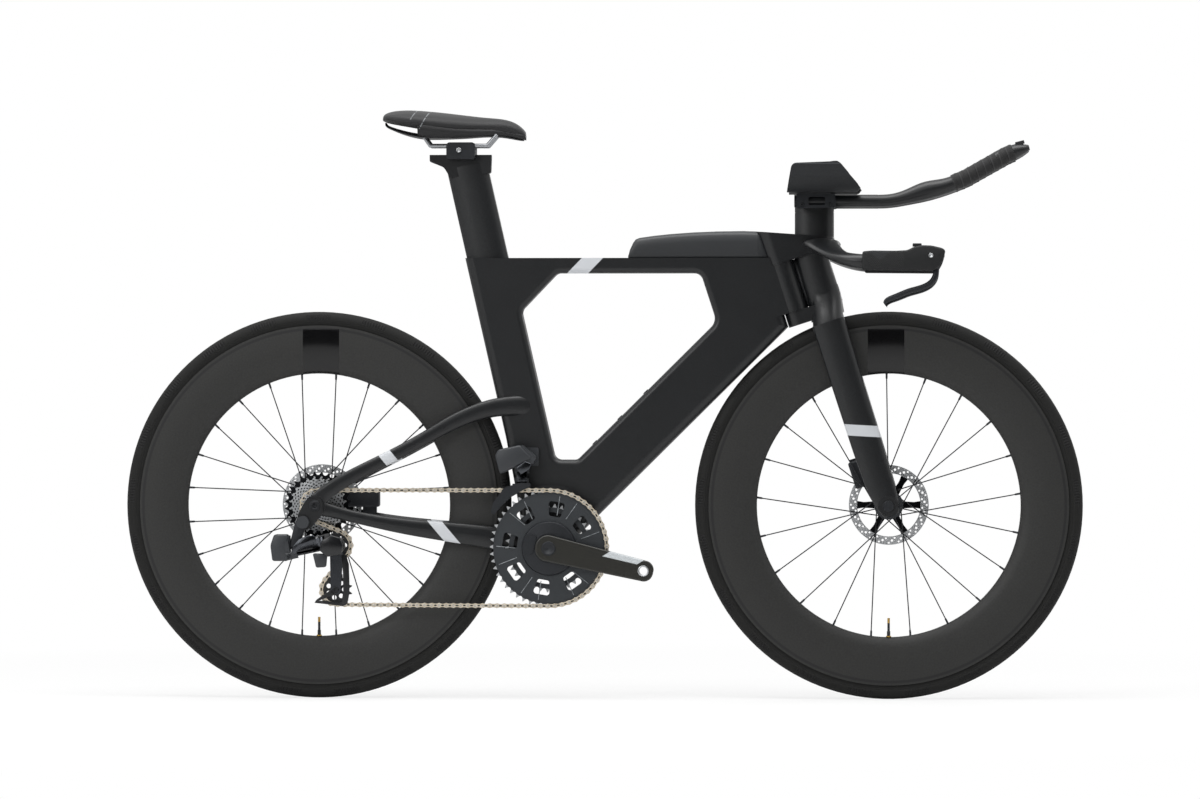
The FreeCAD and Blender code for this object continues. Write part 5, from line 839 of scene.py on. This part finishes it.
def cushion(name, node, body, finish, voxel, shrink, limit):
    base = nodes[node]
    mesh = base.data.copy()
    made = bpy.data.objects.new(name, mesh)
    bpy.context.scene.collection.objects.link(made)
    mesh.materials.clear()
    mesh.materials.append(finish.material)
    bpy.context.view_layer.objects.active = made
    made.select_set(True)
    remesh = made.modifiers.new("skin", "REMESH")
    remesh.mode = "VOXEL"
    remesh.voxel_size = voxel
    bpy.ops.object.modifier_apply(modifier=remesh.name)
    normals = [v.normal.copy() for v in mesh.vertices]
    seated = [normal.z < -0.35 for normal in normals]
    hold = made.vertex_groups.new(name=SEAT_GROUP)
    hold.add([i for i, held in enumerate(seated) if held], 1.0, "REPLACE")
    for vertex, normal, held in zip(mesh.vertices, normals, seated):
        if not held:
            vertex.co -= normal * shrink
    rest = [v.co.copy() for v in mesh.vertices]
    cloth = made.modifiers.new("stuffing", "CLOTH")
    cloth.settings.use_pressure = True
    cloth.settings.uniform_pressure_force = PRESSURE
    cloth.settings.effector_weights.gravity = 0.0
    cloth.settings.quality = 5
    cloth.settings.vertex_group_mass = SEAT_GROUP
    scene = bpy.context.scene
    for step in range(1, CLOTH_STEPS + 1):
        scene.frame_set(step)
    bpy.ops.object.modifier_apply(modifier=cloth.name)
    scene.frame_set(1)
    for vertex, start in zip(mesh.vertices, rest):
        move = vertex.co - start
        if move.length > limit:
            vertex.co = start + move * (limit / move.length)
    smooth = made.modifiers.new("even", "SMOOTH")
    smooth.factor = 0.5
    smooth.iterations = 6
    smooth.vertex_group = SEAT_GROUP
    smooth.invert_vertex_group = True
    bpy.ops.object.modifier_apply(modifier=smooth.name)
    refine = made.modifiers.new("round", "SUBSURF")
    refine.levels = 1
    refine.render_levels = 1
    bpy.ops.object.modifier_apply(modifier=refine.name)
    for face in mesh.polygons:
        face.use_smooth = True
    made.select_set(False)
    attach(made, body)
    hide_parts(node)


def saddle_skirt():
    """The turned-under hem that closes the side between padding and shell, ahead of the rear window."""
    cover = [v.co * 1000 for v in nodes["saddle_cover"].data.vertices]
    shell = [v.co * 1000 for v in nodes["saddle_shell"].data.vertices]
    nose, back, step, thick = -118.0, -322.0, 6.0, 5.0
    rows = []
    x = nose
    while x >= back:
        under = [s for s in shell if abs(s.x - x) < step * 1.5]
        above = [s for s in cover if abs(s.x - x) < step * 1.5]
        if under and above:
            wide = max(abs(s.y) for s in under)
            edge = max(s.z for s in under if abs(s.y) > wide - 1.5)
            broad = max(abs(s.y) for s in above)
            hem = min(s.z for s in above if abs(s.y) > broad - 4.0)
            rows.append((x, min(wide, broad) - 0.6, edge - 0.5, broad - 2.6, hem + 2.0))
        x -= step
    points, faces = [], []
    for side in (-1, 1):
        first = len(points)
        for x, foot_y, foot_z, top_y, top_z in rows:
            mid_y = (foot_y + top_y) / 2 + 0.6
            ring = [(foot_y, foot_z), (mid_y, (foot_z + top_z) / 2), (top_y, top_z),
                    (top_y - thick, top_z), (foot_y - thick, foot_z)]
            points += [(x, side * y, z) for y, z in ring]
        for row in range(len(rows) - 1):
            for k in range(5):
                a, b = first + row * 5 + k, first + row * 5 + (k + 1) % 5
                faces.append((a, b, b + 5, a + 5) if side > 0 else (a + 5, b + 5, b, a))
        for row in (0, len(rows) - 1):
            faces.append(tuple(first + row * 5 + k for k in range(5)))
    return piece("saddle_hem", points, faces, saddle_skin, "saddle")


saddle_skirt()
cushion("saddle_padding", "saddle_cover", "saddle", saddle_skin,
        voxel=0.002, shrink=0.0008, limit=0.0014)
cushion("forearm_pads", "arm_pads", "fork", pad_cloth,
        voxel=0.004, shrink=0.0012, limit=0.0015)

# Studio: white floor, pale surroundings and soft lamps

floor_mesh = bpy.data.meshes.new("floor")
floor_mesh.from_pydata([(-30, -30, 0), (30, -30, 0), (30, 30, 0), (-30, 30, 0)], [], [(0, 1, 2, 3)])
floor = bpy.data.objects.new("floor", floor_mesh)
bpy.context.scene.collection.objects.link(floor)
paper = bpy.data.materials.new("white_paper_floor")
paper.use_nodes = True
tree = paper.node_tree
for old in list(tree.nodes):
    tree.nodes.remove(old)
seen = add(tree, "ShaderNodeLightPath", {})
white = add(tree, "ShaderNodeBsdfDiffuse", {"Color": linear("#f4f4f4")})
glow = add(tree, "ShaderNodeEmission", {"Color": (1, 1, 1, 1), "Strength": 1.0})
spot = add(tree, "ShaderNodeTexCoord", {})
away = add(tree, "ShaderNodeVectorMath", {0: spot.outputs["Object"]}, operation="LENGTH")
spread = {"Value": away.outputs["Value"], "From Min": 0.9, "From Max": 2.2, "To Min": 0.72, "To Max": 1.0}
fade = add(tree, "ShaderNodeMapRange", spread)
bare = seen.outputs["Is Camera Ray"]
share = add(tree, "ShaderNodeMath", {0: bare, 1: fade.outputs[0]}, operation="MULTIPLY")
both = add(tree, "ShaderNodeMixShader", {0: share.outputs[0], 1: white.outputs[0], 2: glow.outputs[0]})
add(tree, "ShaderNodeOutputMaterial", {"Surface": both.outputs[0]})
floor_mesh.materials.append(paper)

world = bpy.data.worlds.new("studio")
bpy.context.scene.world = world
world.use_nodes = True
tree = world.node_tree
for old in list(tree.nodes):
    tree.nodes.remove(old)
seen = add(tree, "ShaderNodeLightPath", {})
rays = {0: seen.outputs["Is Camera Ray"], 1: seen.outputs["Is Transmission Ray"]}
through = add(tree, "ShaderNodeMath", rays, operation="MAXIMUM")
rays = {0: through.outputs[0], 1: seen.outputs["Is Glossy Ray"]}
shown = add(tree, "ShaderNodeMath", rays, operation="MAXIMUM")
level = add(tree, "ShaderNodeMix", {0: shown.outputs[0], 2: 0.45, 3: 1.0})
sky = add(tree, "ShaderNodeBackground", {"Color": (1, 1, 1, 1), "Strength": level.outputs[0]})
add(tree, "ShaderNodeOutputWorld", {"Surface": sky.outputs[0]})


# Dark cards stand at both sides of the bike, so that the black sides mirror something dark

card_cloth = Finish("black_studio_cloth", "#1c1c1c", 0.9)
card_cloth.paint(card_cloth.cloud(300.0), "#161616")
CARD_AWAY, CARD_HALF, CARD_TALL = 6.4, 7, 3.6
for side, y in (("camera", -CARD_AWAY), ("far", CARD_AWAY)):
    mesh = bpy.data.meshes.new(f"{side}_side_card")
    corners = [(-CARD_HALF, y, 0.0), (CARD_HALF, y, 0.0), (CARD_HALF, y, CARD_TALL), (-CARD_HALF, y, CARD_TALL)]
    mesh.from_pydata(corners, [], [(0, 1, 2, 3)])
    card = bpy.data.objects.new(f"{side}_side_card", mesh)
    bpy.context.scene.collection.objects.link(card)
    mesh.materials.append(card_cloth.material)
    card.visible_camera = False
    card.visible_diffuse = False
    card.visible_shadow = False


def soft_lamp(name, place, target, width, depth, power):
    lamp = bpy.data.lights.new(name, "AREA")
    lamp.shape = "RECTANGLE"
    lamp.size, lamp.size_y = width, depth
    lamp.energy = power
    made = bpy.data.objects.new(name, lamp)
    made.location = place
    made.rotation_euler = (Vector(target) - Vector(place)).to_track_quat("-Z", "Y").to_euler()
    bpy.context.scene.collection.objects.link(made)


soft_lamp("overhead_softbox", (0.0, -0.6, 3.4), (0, 0, 0.4), 3.6, 1.8, 95)
soft_lamp("camera_side_softbox", (-2.6, -4.2, 2.2), (0, 0, 0.5), 2.0, 2.0, 60)
soft_lamp("far_side_softbox", (2.4, 3.6, 2.0), (0, 0, 0.5), 2.4, 2.0, 40)

# The eye: the photograph's fitted focal length in its own pixels, and how many times further off it stands
PHOTO_WIDTH, FOCAL_PIXELS, EYE_DISTANCE = 1200, 3181, 2.0
eye = bpy.data.cameras.new("photo_camera")
eye.sensor_width = 36.0
eye.lens = EYE_DISTANCE * eye.sensor_width * FOCAL_PIXELS / PHOTO_WIDTH
camera = bpy.data.objects.new("photo_camera", eye)
camera.location = (0.5727, -11.142, 0.596)
camera.rotation_euler = (Vector((-0.00575, 0, 0.524)) - camera.location).to_track_quat("-Z", "Y").to_euler()
bpy.context.scene.collection.objects.link(camera)
bpy.context.scene.camera = camera
bpy.context.scene.view_settings.view_transform = "Standard"
